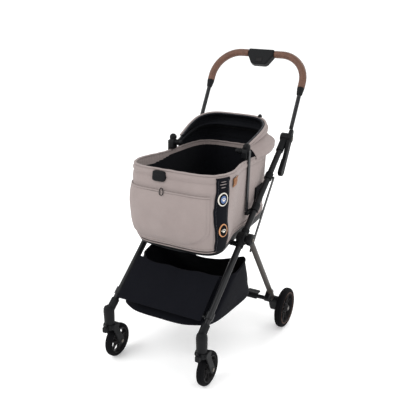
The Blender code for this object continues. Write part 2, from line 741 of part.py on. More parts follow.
def build_fork(side):
    """The caster fork: a crown under the housing and two teardrop arms with the axle between them."""
    name = "caster_fork_" + sided(side)
    x = side * CASTER_X
    top = CASTER_TOP_HEIGHT - 0.052 - RUNNING_GAP
    crown_low = FRONT_WHEEL_RADIUS * 2 + 0.0040
    reach = FRONT_WHEEL_WIDTH / 2 + WHEEL_SIDE_GAP + 0.0055
    crown_mid = (top + crown_low) / 2
    crown_half = (top - crown_low) / 2
    outline = hull_outline([(CASTER_Y, crown_mid, crown_half), (CASTER_Y + 0.018, crown_mid, crown_half)], 16)
    crown = outline_block(name, outline, x - reach, x + reach, 0.002)
    round_top = rod("round_top", (x, CASTER_Y, crown_low + 0.001), (x, CASTER_Y, top), 0.0185, 16)
    weld(crown, round_top)
    for hand in (-1, 1):
        low = x + hand * (FRONT_WHEEL_WIDTH / 2 + WHEEL_SIDE_GAP)
        high = x + hand * reach
        circles = [(CASTER_Y + 0.004, crown_mid, 0.0125), (FRONT_AXLE.y, FRONT_AXLE.z, 0.0135)]
        weld(crown, outline_block("arm", hull_outline(circles, 10), low, high, 0.0012))
    axle = rod("axle", (x - reach + 0.002, FRONT_AXLE.y, FRONT_AXLE.z),
               (x + reach - 0.002, FRONT_AXLE.y, FRONT_AXLE.z),
               0.0042, 18)
    weld(crown, axle)
    return finish(shade(crown), name, "plastic", (x, CASTER_Y, top))


def build_swivel_lock(side):
    """The small flip lever on the front of the caster fork's crown."""
    name = "swivel_lock_" + sided(side)
    x = side * CASTER_X
    height = CASTER_TOP_HEIGHT - 0.052 - 0.0105
    crown_half = (CASTER_TOP_HEIGHT - 0.052 - RUNNING_GAP - FRONT_WHEEL_RADIUS * 2 - 0.0040) / 2
    front = CASTER_Y - max(0.0185, crown_half) - 0.0009
    lever = box(name, (x - 0.0085, front - 0.0150, height - 0.0125),
                (x + 0.0085, front - 0.0012, height + 0.0085), 0.0025)
    return finish(shade(lever), name, "plastic", (x, front - 0.0040, height + 0.0040))


# ---------------------------------------------------------------- folding handle
def handle_point(x, distance):
    return at(PIVOT + HANDLE_UP * distance, x)


def handle_path(start, stop_x, side, corner_steps=7):
    """Points along one half of the bar, from a distance above the pivot to a sideways position on the top."""
    points = [handle_point(side * HANDLE_X, start)]
    straight_end = HANDLE_TOP - HANDLE_CORNER_RADIUS
    points.append(handle_point(side * HANDLE_X, (start + straight_end) / 2))
    for k in range(corner_steps + 1):
        turn = math.pi / 2 * k / corner_steps
        x = HANDLE_X - HANDLE_CORNER_RADIUS * (1 - math.cos(turn))
        points.append(handle_point(side * x, straight_end + HANDLE_CORNER_RADIUS * math.sin(turn)))
    points.append(handle_point(side * stop_x, HANDLE_TOP))
    return points


def build_handle_tube():
    """The bent tube of the push handle, from one sleeve over the top to the other."""
    left = handle_path(SLEEVE_TOP + 0.0006, 0.0, -1)
    right = handle_path(SLEEVE_TOP + 0.0006, 0.0, 1)
    path = left + right[-2::-1]
    tube = sweep("handle_tube", path, HANDLE_TUBE_RADIUS, sides=12)
    return finish(shade(tube, 40), "handle_tube", "frame", PIVOT)


def build_grip(side):
    """The leather-wrapped grip round one bend of the handle."""
    name = "grip_" + sided(side)
    path = handle_path(GRIP_START, GRIP_INNER_END, side)
    grip = sweep(name, path, GRIP_RADIUS, sides=12, bore=HANDLE_TUBE_RADIUS + RUNNING_GAP)
    return finish(shade(grip, 40), name, "leather", PIVOT)


def build_grip_collar(side):
    """The tapered ring that closes the lower end of a grip."""
    name = "grip_collar_" + sided(side)
    start = handle_point(side * HANDLE_X, GRIP_START - 0.030)
    inner = HANDLE_TUBE_RADIUS + RUNNING_GAP
    profile = [(0, inner), (0, 0.0098), (0.003, 0.0110), (0.024, 0.0140), (0.0294, 0.0140), (0.0294, inner)]
    ring = lathe(name, profile, start, HANDLE_UP, 16, closed=True)
    return finish(shade(ring, 30), name, "plastic", PIVOT)


def build_handle_bracket():
    """The moulded centre of the handle, hanging below the bar, with a slot for the fold button."""
    top = HANDLE_TOP
    across = [(-GRIP_INNER_END + GAP * 2, 0.0150), (GRIP_INNER_END - GAP * 2, 0.0150),
              (GRIP_INNER_END - GAP * 2, -0.0120), (0.0345, -0.0450), (0.0260, -0.0500), (-0.0260, -0.0500),
              (-0.0345, -0.0450), (-GRIP_INNER_END + GAP * 2, -0.0120)]
    normal = Vector((0, -math.cos(HANDLE_LEAN), math.sin(HANDLE_LEAN)))
    half = 0.0155
    points = []
    for thick in (-half, half):
        points += [handle_point(x, top + s) + normal * thick for x, s in across]
    n = len(across)
    faces = [tuple(range(n)), tuple(range(n, 2 * n))]
    faces += [(k, (k + 1) % n, n + (k + 1) % n, n + k) for k in range(n)]
    body = mesh_object("handle_bracket", points, faces, smooth=False)
    soften(body, 0.0060, 3)
    reach = HANDLE_X - HANDLE_CORNER_RADIUS
    bore = rod("bore", handle_point(-reach, top), handle_point(reach, top), HANDLE_TUBE_RADIUS + GAP, 16)
    cut(body, bore)
    pocket = button_block("pocket", 0.0006, 0.0205)
    cut(body, pocket)
    return finish(shade(body, 34), "handle_bracket", "plastic", PIVOT)


def button_block(name, grow, proud):
    """The block of the fold button, sunk into the bracket's front face."""
    normal = Vector((0, -math.cos(HANDLE_LEAN), math.sin(HANDLE_LEAN)))
    low = 0.0065 - grow
    points = []
    for x, s in ((-0.013, -0.042), (0.013, -0.042), (0.013, -0.024), (-0.013, -0.024)):
        x += math.copysign(grow, x)
        s += grow if s > -0.03 else -grow
        for thick in (low, proud):
            points.append(handle_point(x, HANDLE_TOP + s) + normal * thick)
    faces = [(0, 2, 4, 6), (1, 3, 5, 7), (0, 1, 3, 2), (2, 3, 5, 4), (4, 5, 7, 6), (6, 7, 1, 0)]
    return mesh_object(name, points, faces, smooth=False)


def build_fold_button():
    """The sprung button that frees the fold lock."""
    normal = Vector((0, -math.cos(HANDLE_LEAN), math.sin(HANDLE_LEAN)))
    button = button_block("fold_button", 0.0, 0.0178)
    for vertex in button.data.vertices:
        if (vertex.co - handle_point(0, HANDLE_TOP - 0.033)).dot(normal) < 0.009:
            vertex.co += normal * 0.0036
    soften(button, 0.0015)
    return finish(shade(button), "fold_button", "rim", handle_point(0, HANDLE_TOP - 0.033))


def build_handle_sleeve(side):
    """The moulded arm at the foot of the handle: it turns on the pivot and its tail carries the fold lock."""
    name = "handle_sleeve_" + sided(side)
    low = side * SLEEVE_INNER
    high = side * SLEEVE_OUTER
    top = PIVOT + HANDLE_UP * (SLEEVE_TOP - 0.0110)
    tail = PIVOT - HANDLE_UP * (SLEEVE_TAIL - 0.0110)
    circles = [(top.y, top.z, 0.0110), (PIVOT.y, PIVOT.z, 0.0135)]
    arm = outline_block(name, hull_outline(circles, 10), low, high, 0.0022)
    circles = [(PIVOT.y, PIVOT.z, 0.0135), (tail.y, tail.z, 0.0115)]
    weld(arm, outline_block("tail", hull_outline(circles, 10), low, high, 0.0022))
    disc = lathe("disc", [(0, 0), (0, 0.0175), (0.0125, 0.0175), (0.0165, 0.0145), (0.0180, 0.0090),
                          (0.0185, 0)],
                 at(PIVOT, low), (side, 0, 0), 16)
    weld(arm, disc)
    lock_a = PIVOT - HANDLE_UP * 0.088 + Vector((0, -0.0110, 0))
    lock_b = PIVOT - HANDLE_UP * 0.130 + Vector((0, -0.0160, 0))
    lock = outline_block("lock", hull_outline([(lock_a.y, lock_a.z, 0.0120), (lock_b.y, lock_b.z, 0.0160)],
                                              16),
                         low + side * 0.0010, high + side * 0.0030, 0.0025)
    weld(arm, lock)
    return finish(shade(arm), name, "plastic", PIVOT)


# ---------------------------------------------------------------- fold links
LINK_OFFSET = 0.008


def link_top():
    across = Vector((0, math.cos(FRONT_LEG_LEAN), -math.sin(FRONT_LEG_LEAN)))
    return PIVOT + LEG_DOWN * LINK_COLLAR_DISTANCE + across * LINK_OFFSET


def link_foot():
    return HUB + REAR_DOWN * LINK_LEVER


def build_link_collar(side):
    """The collar that slides on the front leg and carries the upper end of the fold link."""
    name = "link_collar_" + sided(side)
    x = side * LEG_X
    centre = PIVOT + LEG_DOWN * LINK_COLLAR_DISTANCE
    ring = rod(name, at(centre - LEG_DOWN * 0.013, x), at(centre + LEG_DOWN * 0.013, x),
               LEG_TUBE_RADIUS + COLLAR_WALL, 20)
    limit_x = side * (LINK_INNER - 0.0008)
    limit = box("limit", (min(limit_x, limit_x + side * 0.04), centre.y - 0.1, centre.z - 0.1),
                (max(limit_x, limit_x + side * 0.04), centre.y + 0.1, centre.z + 0.1))
    cut(ring, limit)
    pin = rod("pin", at(link_top(), side * (LEG_OUTER + 0.0010)),
              at(link_top(), side * (LINK_OUTER + 0.0006)), 0.0034, 16)
    weld(ring, pin)
    bore = rod("bore", at(centre - LEG_DOWN * 0.04, x), at(centre + LEG_DOWN * 0.04, x),
               LEG_TUBE_RADIUS + RUNNING_GAP, 20)
    cut(ring, bore)
    return finish(shade(ring), name, "plastic", at(centre, 0))


def build_link_bar(side):
    """The flat steel link from the sliding collar to the rear leg."""
    name = "link_bar_" + sided(side)
    top = link_top()
    foot = link_foot()
    circles = [(top.y, top.z, 0.0068), (foot.y, foot.z, 0.0068)]
    bar = outline_block(name, hull_outline(circles, 10), side * LINK_INNER, side * LINK_OUTER, 0.0008)
    cut(bar, rod("eye", at(top, side * (LINK_INNER - 0.01)), at(top, side * (LINK_OUTER + 0.01)),
                 0.0034 + RUNNING_GAP, 16))
    return finish(shade(bar), name, "frame", at(top, 0))


# ---------------------------------------------------------------- carrier
def flared(point, height):
    """Moves a point of the carrier sideways where its front half widens ahead of the frame."""
    share = min(1.0, max(0.0, (FLARE_START - FLARE_SET_BACK * (1 - height) - point.y) / 0.120))
    ease = share * share * (3 - 2 * share)
    belly = 1 + 0.30 * math.sin(math.pi * height)
    return Vector((point.x * (1 + CARRIER_FLARE * belly * ease), point.y, point.z))


def shell_ring(height, inset, count):
    """One level of the carrier's wall: narrower at the floor, bulging at mid height."""
    bulge = math.sin(math.pi * min(1.0, height * 1.06)) * CARRIER_BULGE
    half = CARRIER_HALF - 0.0080 * (1 - height) ** 1.6 - inset
    front = CARRIER_FRONT + 0.010 * (1 - height) ** 1.3 - bulge + inset
    back = CARRIER_BACK - 0.010 * (1 - height) - inset
    top_front = RIM_HEIGHT + RIM_RISE
    top_back = RIM_HEIGHT - RIM_RISE
    low = CARRIER_FLOOR
    z_front = low + (top_front - low) * height
    z_back = low + (top_back - low) * height
    return [flared(p, height) for p in rounded_ring(half, front, back, z_front, z_back, CARRIER_CORNER,
                                                    count)]


def build_carrier_shell():
    """The carrier's open-topped body: cloth over a stiff board, with a flat floor."""
    count = 28
    levels = (0.0, 0.06, 0.35, 0.7, 1.0)
    outer = [[Vector((p.x * 0.965, CARRIER_MIDDLE + (p.y - CARRIER_MIDDLE) * 0.975, p.z)) for p in
              shell_ring(0.0, 0, count)]]
    outer += [shell_ring(h, 0, count) for h in levels[1:]]
    inner = []
    for h in levels[::-1]:
        ring = shell_ring(h, SHELL_WALL, count)
        floor = CARRIER_FLOOR + SHELL_WALL
        inner.append([Vector((p.x, p.y, max(p.z, floor))) for p in ring])
    loop = outer + inner
    points, faces = join_rings(loop, closed_rings=False)
    made = mesh_object("carrier_shell", points, faces)
    return finish(shade(made, 40), "carrier_shell", "beige", (0, CARRIER_MIDDLE, CARRIER_FLOOR))


def build_carrier_rim():
    """The bound edge round the carrier's mouth."""
    ring = shell_ring(1.0, SHELL_WALL / 2, 28)
    path = [p + Vector((0, 0, 0.0034)) for p in ring]
    tube = sweep("carrier_rim", path, 0.0042, 0.0030, sides=6, closed=True)
    return finish(shade(tube), "carrier_rim", "beige", (0, CARRIER_MIDDLE, CARRIER_FLOOR))


def build_cushion():
    """The pad on the carrier's floor."""
    count = 24
    base = CARRIER_FLOOR + SHELL_WALL + GAP
    rows = ((0.012, 0.000), (0.002, 0.006), (0.000, 0.018), (0.003, 0.026), (0.014, 0.031), (0.045, 0.033))
    rings = []
    for inset, rise in rows:
        ring = rounded_ring(CARRIER_HALF - 0.024 - inset, CARRIER_FRONT + 0.026 + inset,
                            CARRIER_BACK - 0.022 - inset,
                            0, 0, 4.5, count)
        rings.append([Vector((p.x, p.y, base + rise)) for p in ring])
    made = mesh_object("cushion", *join_rings(rings, closed_rings=False))
    return finish(shade(made, 60), "cushion", "black_cloth", (0, CARRIER_MIDDLE, CARRIER_FLOOR))


def build_base_frame():
    """The tubular hoop under the carrier that rests on the hub saddles."""
    z = BASE_HEIGHT
    path = rounded_ring(CARRIER_HALF - 0.022, CARRIER_FRONT + 0.022, CARRIER_BACK - 0.030, z, z, 4.5, 24)
    hoop = sweep("base_frame", path, BASE_TUBE, sides=8, closed=True)
    return finish(shade(hoop), "base_frame", "frame", (0, CARRIER_MIDDLE, CARRIER_FLOOR))


def build_side_strut(side):
    """The flat upright on the carrier's side, from the canopy hinge down to the seat bracket."""
    name = "side_strut_" + sided(side)
    inner = side * (CARRIER_HALF + STRUT_GAP)
    outer = side * (CARRIER_HALF + STRUT_GAP + 0.0050)
    foot = BRACKET_HEIGHT - 0.0040 + GAP
    top = CANOPY_PIVOT.z + 0.0060
    outline = [(STRUT_Y - 0.0080, foot), (STRUT_Y + 0.0080, foot), (CANOPY_PIVOT_Y + 0.0085, top),
               (CANOPY_PIVOT_Y - 0.0085, top)]
    strut = outline_block(name, outline, inner, outer, 0.0012)
    return finish(shade(strut), name, "frame", (0, CARRIER_MIDDLE, CARRIER_FLOOR))


HINGE_OUTER = CARRIER_HALF + 0.0010
HINGE_INNER = CARRIER_HALF - 0.0200
BOW_X = HINGE_INNER - 0.0046


def build_pod(side):
    """The canopy hinge: a rounded housing on the rim with the pin the bows turn on."""
    name = "canopy_hinge_" + sided(side)
    low = side * HINGE_INNER
    high = side * HINGE_OUTER
    rim_top = RIM_HEIGHT + RIM_RISE - 2 * RIM_RISE * (CANOPY_PIVOT_Y - 0.016 - CARRIER_FRONT) / CARRIER_LENGTH + 0.0064
    foot = rim_top + GAP * 2 + 0.0090
    circles = [(CANOPY_PIVOT_Y, CANOPY_PIVOT.z, 0.0150), (CANOPY_PIVOT_Y - 0.006, foot, 0.0090),
               (CANOPY_PIVOT_Y + 0.006, foot, 0.0090)]
    pod = outline_block(name, hull_outline(circles, 10), low, high, 0.0030)
    pin = rod("pin", at(CANOPY_PIVOT, low + side * 0.004), at(CANOPY_PIVOT, side * (BOW_X - 0.0125)),
              0.0045, 12)
    weld(pod, pin)
    return finish(shade(pod), name, "plastic", CANOPY_PIVOT)


def build_latch_tab():
    """The small moulded tab at the middle of the carrier's front edge."""
    front = CARRIER_FRONT - CARRIER_BULGE * 0.30
    tab = box("latch_tab", (LATCH_X - 0.020, front - 0.0075, RIM_HEIGHT - 0.0240),
              (LATCH_X + 0.020, front - 0.0020, RIM_HEIGHT + 0.0100), 0.0018)
    return finish(shade(tab), "latch_tab", "plastic", (0, CARRIER_MIDDLE, CARRIER_FLOOR))


def wall_point(turn_share, height, lift, count=360):
    """A point on the carrier's wall: how far round it, how high up it, and how proud of it."""
    ring = shell_ring(height, 0, count)
    k = int(round(turn_share * count)) % count
    before = ring[k - 1]
    after = ring[(k + 1) % count]
    out = (after - before).cross(Vector((0, 0, 1))).normalized()
    return ring[k] + out * lift


def wall_slab(name, turn_low, turn_high, height_low, height_high, rows, columns, thick, look):
    """A thin panel that follows the carrier's wall."""
    outer = []
    inner = []
    for i in range(rows + 1):
        height = height_low + (height_high - height_low) * i / rows
        for k in range(columns + 1):
            turn = turn_low + (turn_high - turn_low) * k / columns
            outer.append(wall_point(turn, height, 0.0014 + thick))
            inner.append(wall_point(turn, height, 0.0014))
    return grid_slab(name, outer, inner, rows, columns, look)


def build_zip_pull():
    """The teardrop pull of the front pocket's zip."""
    base = wall_point(0.737, 0.80, 0.0)
    front = base.y - 0.0060
    circles = [(base.z, 0.0), (base.z - 0.018, 0.0)]
    ring = []
    for k in range(12):
        turn = 2 * math.pi * k / 12
        wide = 0.0045 + 0.0020 * (1 - math.sin(turn)) / 2
        ring.append(Vector((base.x + wide * math.cos(turn), front,
                            circles[0][0] - 0.010 + 0.012 * math.sin(turn))))
    tube = sweep("zip_pull", ring, 0.0014, sides=6, closed=True)
    return finish(shade(tube), "zip_pull", "plastic", (0, CARRIER_MIDDLE, CARRIER_FLOOR))


# ---------------------------------------------------------------- canopy
def arch(half, depth, angle, share, power=CANOPY_CORNER, spread=CANOPY_SPREAD):
    """A point on a flattened arch over the hinge line; share runs from left over the top to right."""
    turn = math.pi * share
    x = -half * math.copysign(abs(math.cos(turn)) ** (2 / power), math.cos(turn))
    out = depth * abs(math.sin(turn)) ** (2 / power)
    x *= 1 + spread / half * min(1.0, max(0.0, out / depth - 0.12) * 1.5)
    return Vector((x, CANOPY_PIVOT.y + out * math.sin(angle), CANOPY_PIVOT.z + out * math.cos(angle)))


def bow_path(depth, half, angle, steps=18):
    """The rib's centre line, with its points spaced for even bends."""
    return [arch(half, depth, angle, (1 - math.cos(math.pi * k / steps)) / 2) for k in range(steps + 1)]


def build_bow(name, radius, eye_x, angle, look):
    """One rib of the canopy, with an eye at each end that turns on the hinge pin."""
    path = bow_path(radius, eye_x, angle)
    tube = sweep(name, path, 0.0038, sides=8)
    for side in (-1, 1):
        eye = rod("eye", at(CANOPY_PIVOT, side * (eye_x - 0.0028)),
                  at(CANOPY_PIVOT, side * (eye_x + 0.0028)), 0.0105, 12)
        weld(tube, eye)
    for side in (-1, 1):
        cut(tube, rod("bore", at(CANOPY_PIVOT, side * (eye_x - 0.02)),
                      at(CANOPY_PIVOT, side * (eye_x + 0.02)),
                      0.0045 + RUNNING_GAP, 12))
    return finish(shade(tube), name, look, CANOPY_PIVOT)


def build_canopy_cloth():
    """The folded hood: a slack wall of cloth from the carrier's back rim up to the outside of the front rib."""
    rows = 4
    columns = 18
    thick = 0.0040
    outer = []
    inner = []
    for i in range(rows + 1):
        rise = i / rows
        for k in range(columns + 1):
            share = 0.012 + 0.976 * (1 - math.cos(math.pi * k / columns)) / 2
            low = arch(CARRIER_HALF - 0.0010, CARRIER_BACK - CANOPY_PIVOT_Y, math.pi / 2, share,
                       CARRIER_CORNER, 0.0)
            slope = (low.y - CARRIER_FRONT) / CARRIER_LENGTH
            low.z = RIM_HEIGHT + RIM_RISE - 2 * RIM_RISE * slope + 0.0105
            high = arch(BOW_X + 0.0090, CANOPY_DEPTH + 0.0090, CANOPY_BACK_ANGLE, share)
            bulge = 0.030 * math.sin(math.pi * rise) * min(1.0, (low.y - CANOPY_PIVOT_Y) / 0.10)
            middle = low + (high - low) * rise
            away = Vector((middle.x, middle.y - CANOPY_PIVOT_Y, 0)).normalized()
            away.x *= 0.35
            outer.append(middle + away * bulge)
            inner.append(middle + away * (bulge - thick) + Vector((0, 0, 0)))
    return grid_slab("canopy_cloth", outer, inner, rows, columns, "beige")


# ---------------------------------------------------------------- build
for SIDE in (-1, 1):
    build_front_leg(SIDE)
    build_top_pivot(SIDE)
    build_hub_housing(SIDE)
    build_caster_housing(SIDE)
    build_seat_bracket(SIDE)
    build_rear_leg(SIDE)
    build_axle_block(SIDE)
    build_fork(SIDE)
    build_swivel_lock(SIDE)
    build_grip(SIDE)
    build_grip_collar(SIDE)
    build_handle_sleeve(SIDE)
    build_link_collar(SIDE)
    build_link_bar(SIDE)
    build_side_strut(SIDE)
    build_pod(SIDE)
    FRONT = (SIDE * FRONT_AXLE.x, FRONT_AXLE.y, FRONT_AXLE.z)
    build_tyre("front_tyre_" + sided(SIDE), FRONT, FRONT_WHEEL_RADIUS, FRONT_WHEEL_WIDTH,
               FRONT_WHEEL_RADIUS - 0.0130)
    build_rim("front_rim_" + sided(SIDE), FRONT, FRONT_WHEEL_RADIUS - 0.0130 - GAP, FRONT_WHEEL_WIDTH - 0.004,
              0.0042 + RUNNING_GAP, 6)
    REAR = at(REAR_AXLE, SIDE * REAR_WHEEL_X)
    build_tyre("rear_tyre_" + sided(SIDE), REAR, REAR_WHEEL_RADIUS, REAR_WHEEL_WIDTH,
               REAR_WHEEL_RADIUS - 0.0150)
    build_rim("rear_rim_" + sided(SIDE), REAR, REAR_WHEEL_RADIUS - 0.0150 - GAP, REAR_WHEEL_WIDTH - 0.004,
              0.0052 + RUNNING_GAP, 7)

build_front_crossbar()
build_basket_panel()
build_storage_basket()
build_rear_crossbar()
build_brake_pedal()
build_handle_tube()
build_handle_bracket()
build_fold_button()
build_carrier_shell()
build_carrier_rim()
build_cushion()
build_base_frame()
build_latch_tab()
wall_slab("badge_strap", 0.841, 0.879, 0.04, 0.985, 8, 3, 0.0016, "black_cloth")
wall_slab("leather_tag", 0.893, 0.912, 0.85, 0.95, 2, 2, 0.0016, "tag")
wall_slab("rear_pocket", 0.060, 0.110, 0.28, 0.56, 4, 4, 0.0060, "black_cloth")
build_zip_pull()
build_bow("canopy_bow_front", CANOPY_DEPTH, BOW_X, CANOPY_BACK_ANGLE, "frame")
build_bow("canopy_bow_middle", CANOPY_DEPTH - 0.012, BOW_X - 0.0075, CANOPY_BACK_ANGLE + CANOPY_STEP_ANGLE,
          "frame")
build_canopy_cloth()

# ---------------------------------------------------------------- origin in the middle of the footprint
bpy.context.view_layer.update()
reach_y = [(made.matrix_world @ vertex.co).y for made in bpy.data.objects for vertex in made.data.vertices]
MIDDLE_Y = (min(reach_y) + max(reach_y)) / 2
for made in bpy.data.objects:
    made.location.y -= MIDDLE_Y
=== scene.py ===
import math

import bmesh
import bpy
import numpy as np
from mathutils import Matrix, Vector


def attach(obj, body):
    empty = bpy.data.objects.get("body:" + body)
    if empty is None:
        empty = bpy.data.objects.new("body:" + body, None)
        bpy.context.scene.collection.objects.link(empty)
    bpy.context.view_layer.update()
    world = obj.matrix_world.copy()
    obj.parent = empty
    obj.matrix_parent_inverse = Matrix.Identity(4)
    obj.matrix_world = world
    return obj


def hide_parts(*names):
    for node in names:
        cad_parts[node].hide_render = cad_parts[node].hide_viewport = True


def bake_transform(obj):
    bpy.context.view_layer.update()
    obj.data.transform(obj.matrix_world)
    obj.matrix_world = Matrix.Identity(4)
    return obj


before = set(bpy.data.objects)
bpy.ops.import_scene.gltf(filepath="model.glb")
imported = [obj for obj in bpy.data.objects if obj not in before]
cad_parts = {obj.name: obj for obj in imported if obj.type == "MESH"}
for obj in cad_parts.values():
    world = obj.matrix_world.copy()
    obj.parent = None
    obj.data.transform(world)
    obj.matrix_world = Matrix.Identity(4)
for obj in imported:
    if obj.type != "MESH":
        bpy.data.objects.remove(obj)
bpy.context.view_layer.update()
print("stage: frame loaded")

tau = 2 * math.pi
rowShift = np.array([0, -0.009365, 0])  # from the design's frame to the row's, whose origin is mid footprint
sides = ((-1, "L"), (1, "R"))

# what a user would change about the finishes: sRGB colours, thread and grain sizes in mm
finishes = {
    "greige": {"light": "#958A87", "dark": "#766B69", "threadMm": 0.75, "bump": 0.3, "sheen": 0.10},
    "blackCloth": {"light": "#0F1016", "dark": "#06070A", "threadMm": 0.9, "bump": 0.45, "sheen": 0.02},
    "lining": {"light": "#131418", "dark": "#07080A", "threadMm": 1.0, "bump": 0.4, "sheen": 0.02},
    # leather and tan: dark is the colour painted into the grain's creases as shade
    "leather": {"light": "#7A5340", "dark": "#482C1E", "grainMm": 1.4},
    "tan": {"light": "#9C6529", "dark": "#6E4016", "grainMm": 1.0},
    "paint": {"colour": "#0C0D10", "rough": 0.34},
    "bronze": {"colour": "#302B27", "rough": 0.36},
    "plastic": {"colour": "#0A0B0D", "rough": 0.47, "grainMm": 0.7, "dusty": 0.5, "gloss": 0.12},
    "rubber": {"colour": "#08080A", "rough": 0.78, "grainMm": 0.9, "dusty": 0.3, "gloss": 0.07},
    "rim": {"colour": "#121112", "rough": 0.42, "grainMm": 0.8, "dusty": 0.5, "gloss": 0.12},
    "rimEdge": {"colour": "#4A342B", "rough": 0.5, "grainMm": 0.8, "dusty": 0.3, "gloss": 0.12},
    "steel": {"colour": "#6B655E"},
}


# sRGB to linear light: the value over 12.92 when dark, else a power of 2.4
def linear(hexColour):
    raw = np.array([int(hexColour[i:i + 2], 16) / 255 for i in (1, 3, 5)])
    return (*np.where(raw <= 0.04045, raw / 12.92, ((raw + 0.055) / 1.055) ** 2.4), 1.0)


# settings name the node's attributes or input sockets, links name its input sockets
def addNode(tree, kind, settings=None, links=None):
    node = tree.nodes.new(kind)
    for name, value in (settings or {}).items():
        if isinstance(name, str) and hasattr(node, name):
            setattr(node, name, value)
        else:
            node.inputs[name].default_value = value
    for name, socket in (links or {}).items():
        tree.links.new(socket, node.inputs[name])
    return node


def newMaterial(name, settings):
    made = bpy.data.materials.new(name)
    made.use_nodes = True
    shader = made.node_tree.nodes["Principled BSDF"]
    for key, value in settings.items():
        shader.inputs[key].default_value = value
    return made, made.node_tree, shader


def objectSpace(tree):
    return addNode(tree, "ShaderNodeTexCoord").outputs["Object"]


def noise(tree, where, scale, detail=2.0, rough=0.5):
    return addNode(tree, "ShaderNodeTexNoise", {"Scale": scale, "Detail": detail, "Roughness": rough},
                   {"Vector": where}).outputs[0]


def remap(tree, value, settings):
    return addNode(tree, "ShaderNodeMapRange", settings, {"Value": value}).outputs[0]


def calculate(tree, operation, first, factor, plus=None):
    settings, links = {"operation": operation}, {0: first}
    (settings if isinstance(factor, float) else links)[1] = factor
    if plus is not None:
        links[2] = plus
    return addNode(tree, "ShaderNodeMath", settings, links).outputs[0]


def setColour(tree, shader, dark, light, share):
    mixed = addNode(tree, "ShaderNodeMix", {"data_type": "RGBA", 6: tuple(dark), 7: tuple(light)}, {0: share})
    tree.links.new(mixed.outputs[2], shader.inputs["Base Color"])


# a bump over whatever bump went in before it
def setBump(tree, shader, height, strength, distance, under=None):
    links = {"Height": height} if under is None else {"Height": height, "Normal": under}
    bump = addNode(tree, "ShaderNodeBump", {"Strength": strength, "Distance": distance}, links).outputs[0]
    tree.links.new(bump, shader.inputs["Normal"])
    return bump


# plain woven polyester: crossing threads catch the light as a fine grid, and mixed yarn gives a heathered grain
def wovenCloth(name, look):
    made, tree, shader = newMaterial(name, {"Roughness": 0.93, "Specular IOR Level": 0.05,
                                            "Sheen Weight": look["sheen"], "Sheen Roughness": 0.6})
    uv = addNode(tree, "ShaderNodeUVMap").outputs[0]
    where = objectSpace(tree)
    waveScale = 1000 / look["threadMm"] / 2 / 3.3  # real yarn is about 0.5 mm; drawn coarser so that it shows
    waves = {"Scale": waveScale, "Distortion": 0.6, "Detail": 1.0, "Detail Scale": 2.0}
    across, along = [addNode(tree, "ShaderNodeTexWave", {"bands_direction": way, **waves}, {"Vector": uv}).outputs[1]
                     for way in "XY"]
    weave = addNode(tree, "ShaderNodeMix", {"data_type": "FLOAT", "Factor": 0.5}, {"A": across, "B": along})
    grain = calculate(tree, "MULTIPLY_ADD", noise(tree, where, 900.0, 3.0, 0.7), 0.5, weave.outputs[0])
    mixed = calculate(tree, "MULTIPLY_ADD", noise(tree, where, 14.0, 4.0, 0.6), 0.55, grain)
    setColour(tree, shader, linear(look["dark"]), linear(look["light"]),
              remap(tree, mixed, {"From Min": 0.35, "From Max": 1.25}))
    fine = setBump(tree, shader, grain, look["bump"], 0.0006)
    setBump(tree, shader, noise(tree, where, 38.0, 3.0), 0.35, 0.003, fine)  # soft puckers a few cm apart
    return made


# pressed grain leather: pebbles with creases darkened by painted shade, and a soft broken highlight where hands
# polish it
def grainedLeather(name, look):
    made, tree, shader = newMaterial(name, {"Specular IOR Level": 0.4, "Coat Weight": 0.08, "Coat Roughness": 0.4})
    where = objectSpace(tree)
    pebbles = addNode(tree, "ShaderNodeTexVoronoi",
                      {"feature": "DISTANCE_TO_EDGE", "Scale": 1000 / look["grainMm"]}, {"Vector": where})
    creases = remap(tree, pebbles.outputs["Distance"], {"From Max": 0.25})
    patchy = noise(tree, where, 60.0, 5.0, 0.65)
    # painted shade: the colour turns dark in the creases of the grain, broken up in random patches
    depth = calculate(tree, "MULTIPLY", creases, patchy)
    setColour(tree, shader, linear(look["dark"]), linear(look["light"]),
              remap(tree, depth, {"From Min": 0.1, "From Max": 0.62}))
    tree.links.new(remap(tree, patchy, {"To Min": 0.42, "To Max": 0.66}), shader.inputs["Roughness"])
    setBump(tree, shader, creases, 0.45, 0.0005)
    return made


# powder-coated tube: a satin film with faint orange peel, so a long highlight runs down it with a soft edge
def coatedMetal(name, look):
    made, tree, shader = newMaterial(name, {"Base Color": linear(look["colour"]), "Specular IOR Level": 0.22,
                                            "Coat Weight": 0.06, "Coat Roughness": 0.2})
    where = objectSpace(tree)
    rubbed = noise(tree, where, 22.0, 5.0, 0.7)
    tree.links.new(remap(tree, rubbed, {"To Min": look["rough"] - 0.06, "To Max": look["rough"] + 0.1}),
                   shader.inputs["Roughness"])
    setBump(tree, shader, noise(tree, where, 700.0), 0.18, 0.0003)
    return made


# injection-moulded with a spark-eroded grain: dull, slightly lighter where dust sits in the grain
def moulded(name, look):
    made, tree, shader = newMaterial(name, {"Specular IOR Level": look["gloss"]})
    where = objectSpace(tree)
    cloud = noise(tree, where, 18.0, 6.0, 0.7)
    base = np.array(linear(look["colour"]))
    pale = np.minimum(base * (1 + 0.9 * look["dusty"]) + 0.003 * look["dusty"], 1.0)
    setColour(tree, shader, base, pale, cloud)
    tree.links.new(remap(tree, cloud, {"To Min": look["rough"] - 0.07, "To Max": look["rough"] + 0.12}),
                   shader.inputs["Roughness"])
    setBump(tree, shader, noise(tree, where, 1000 / look["grainMm"], 3.0), 0.3, 0.0003)
    return made


# twisted sewing thread: tiny strands, lighter and darker along the twist, with a soft sheen
def thread(name, hexColour):
    made, tree, shader = newMaterial(name, {"Roughness": 0.6, "Sheen Weight": 0.3})
    base = np.array(linear(hexColour))
    setColour(tree, shader, base * 0.7, base, noise(tree, objectSpace(tree), 1500.0, 1.0))
    return made


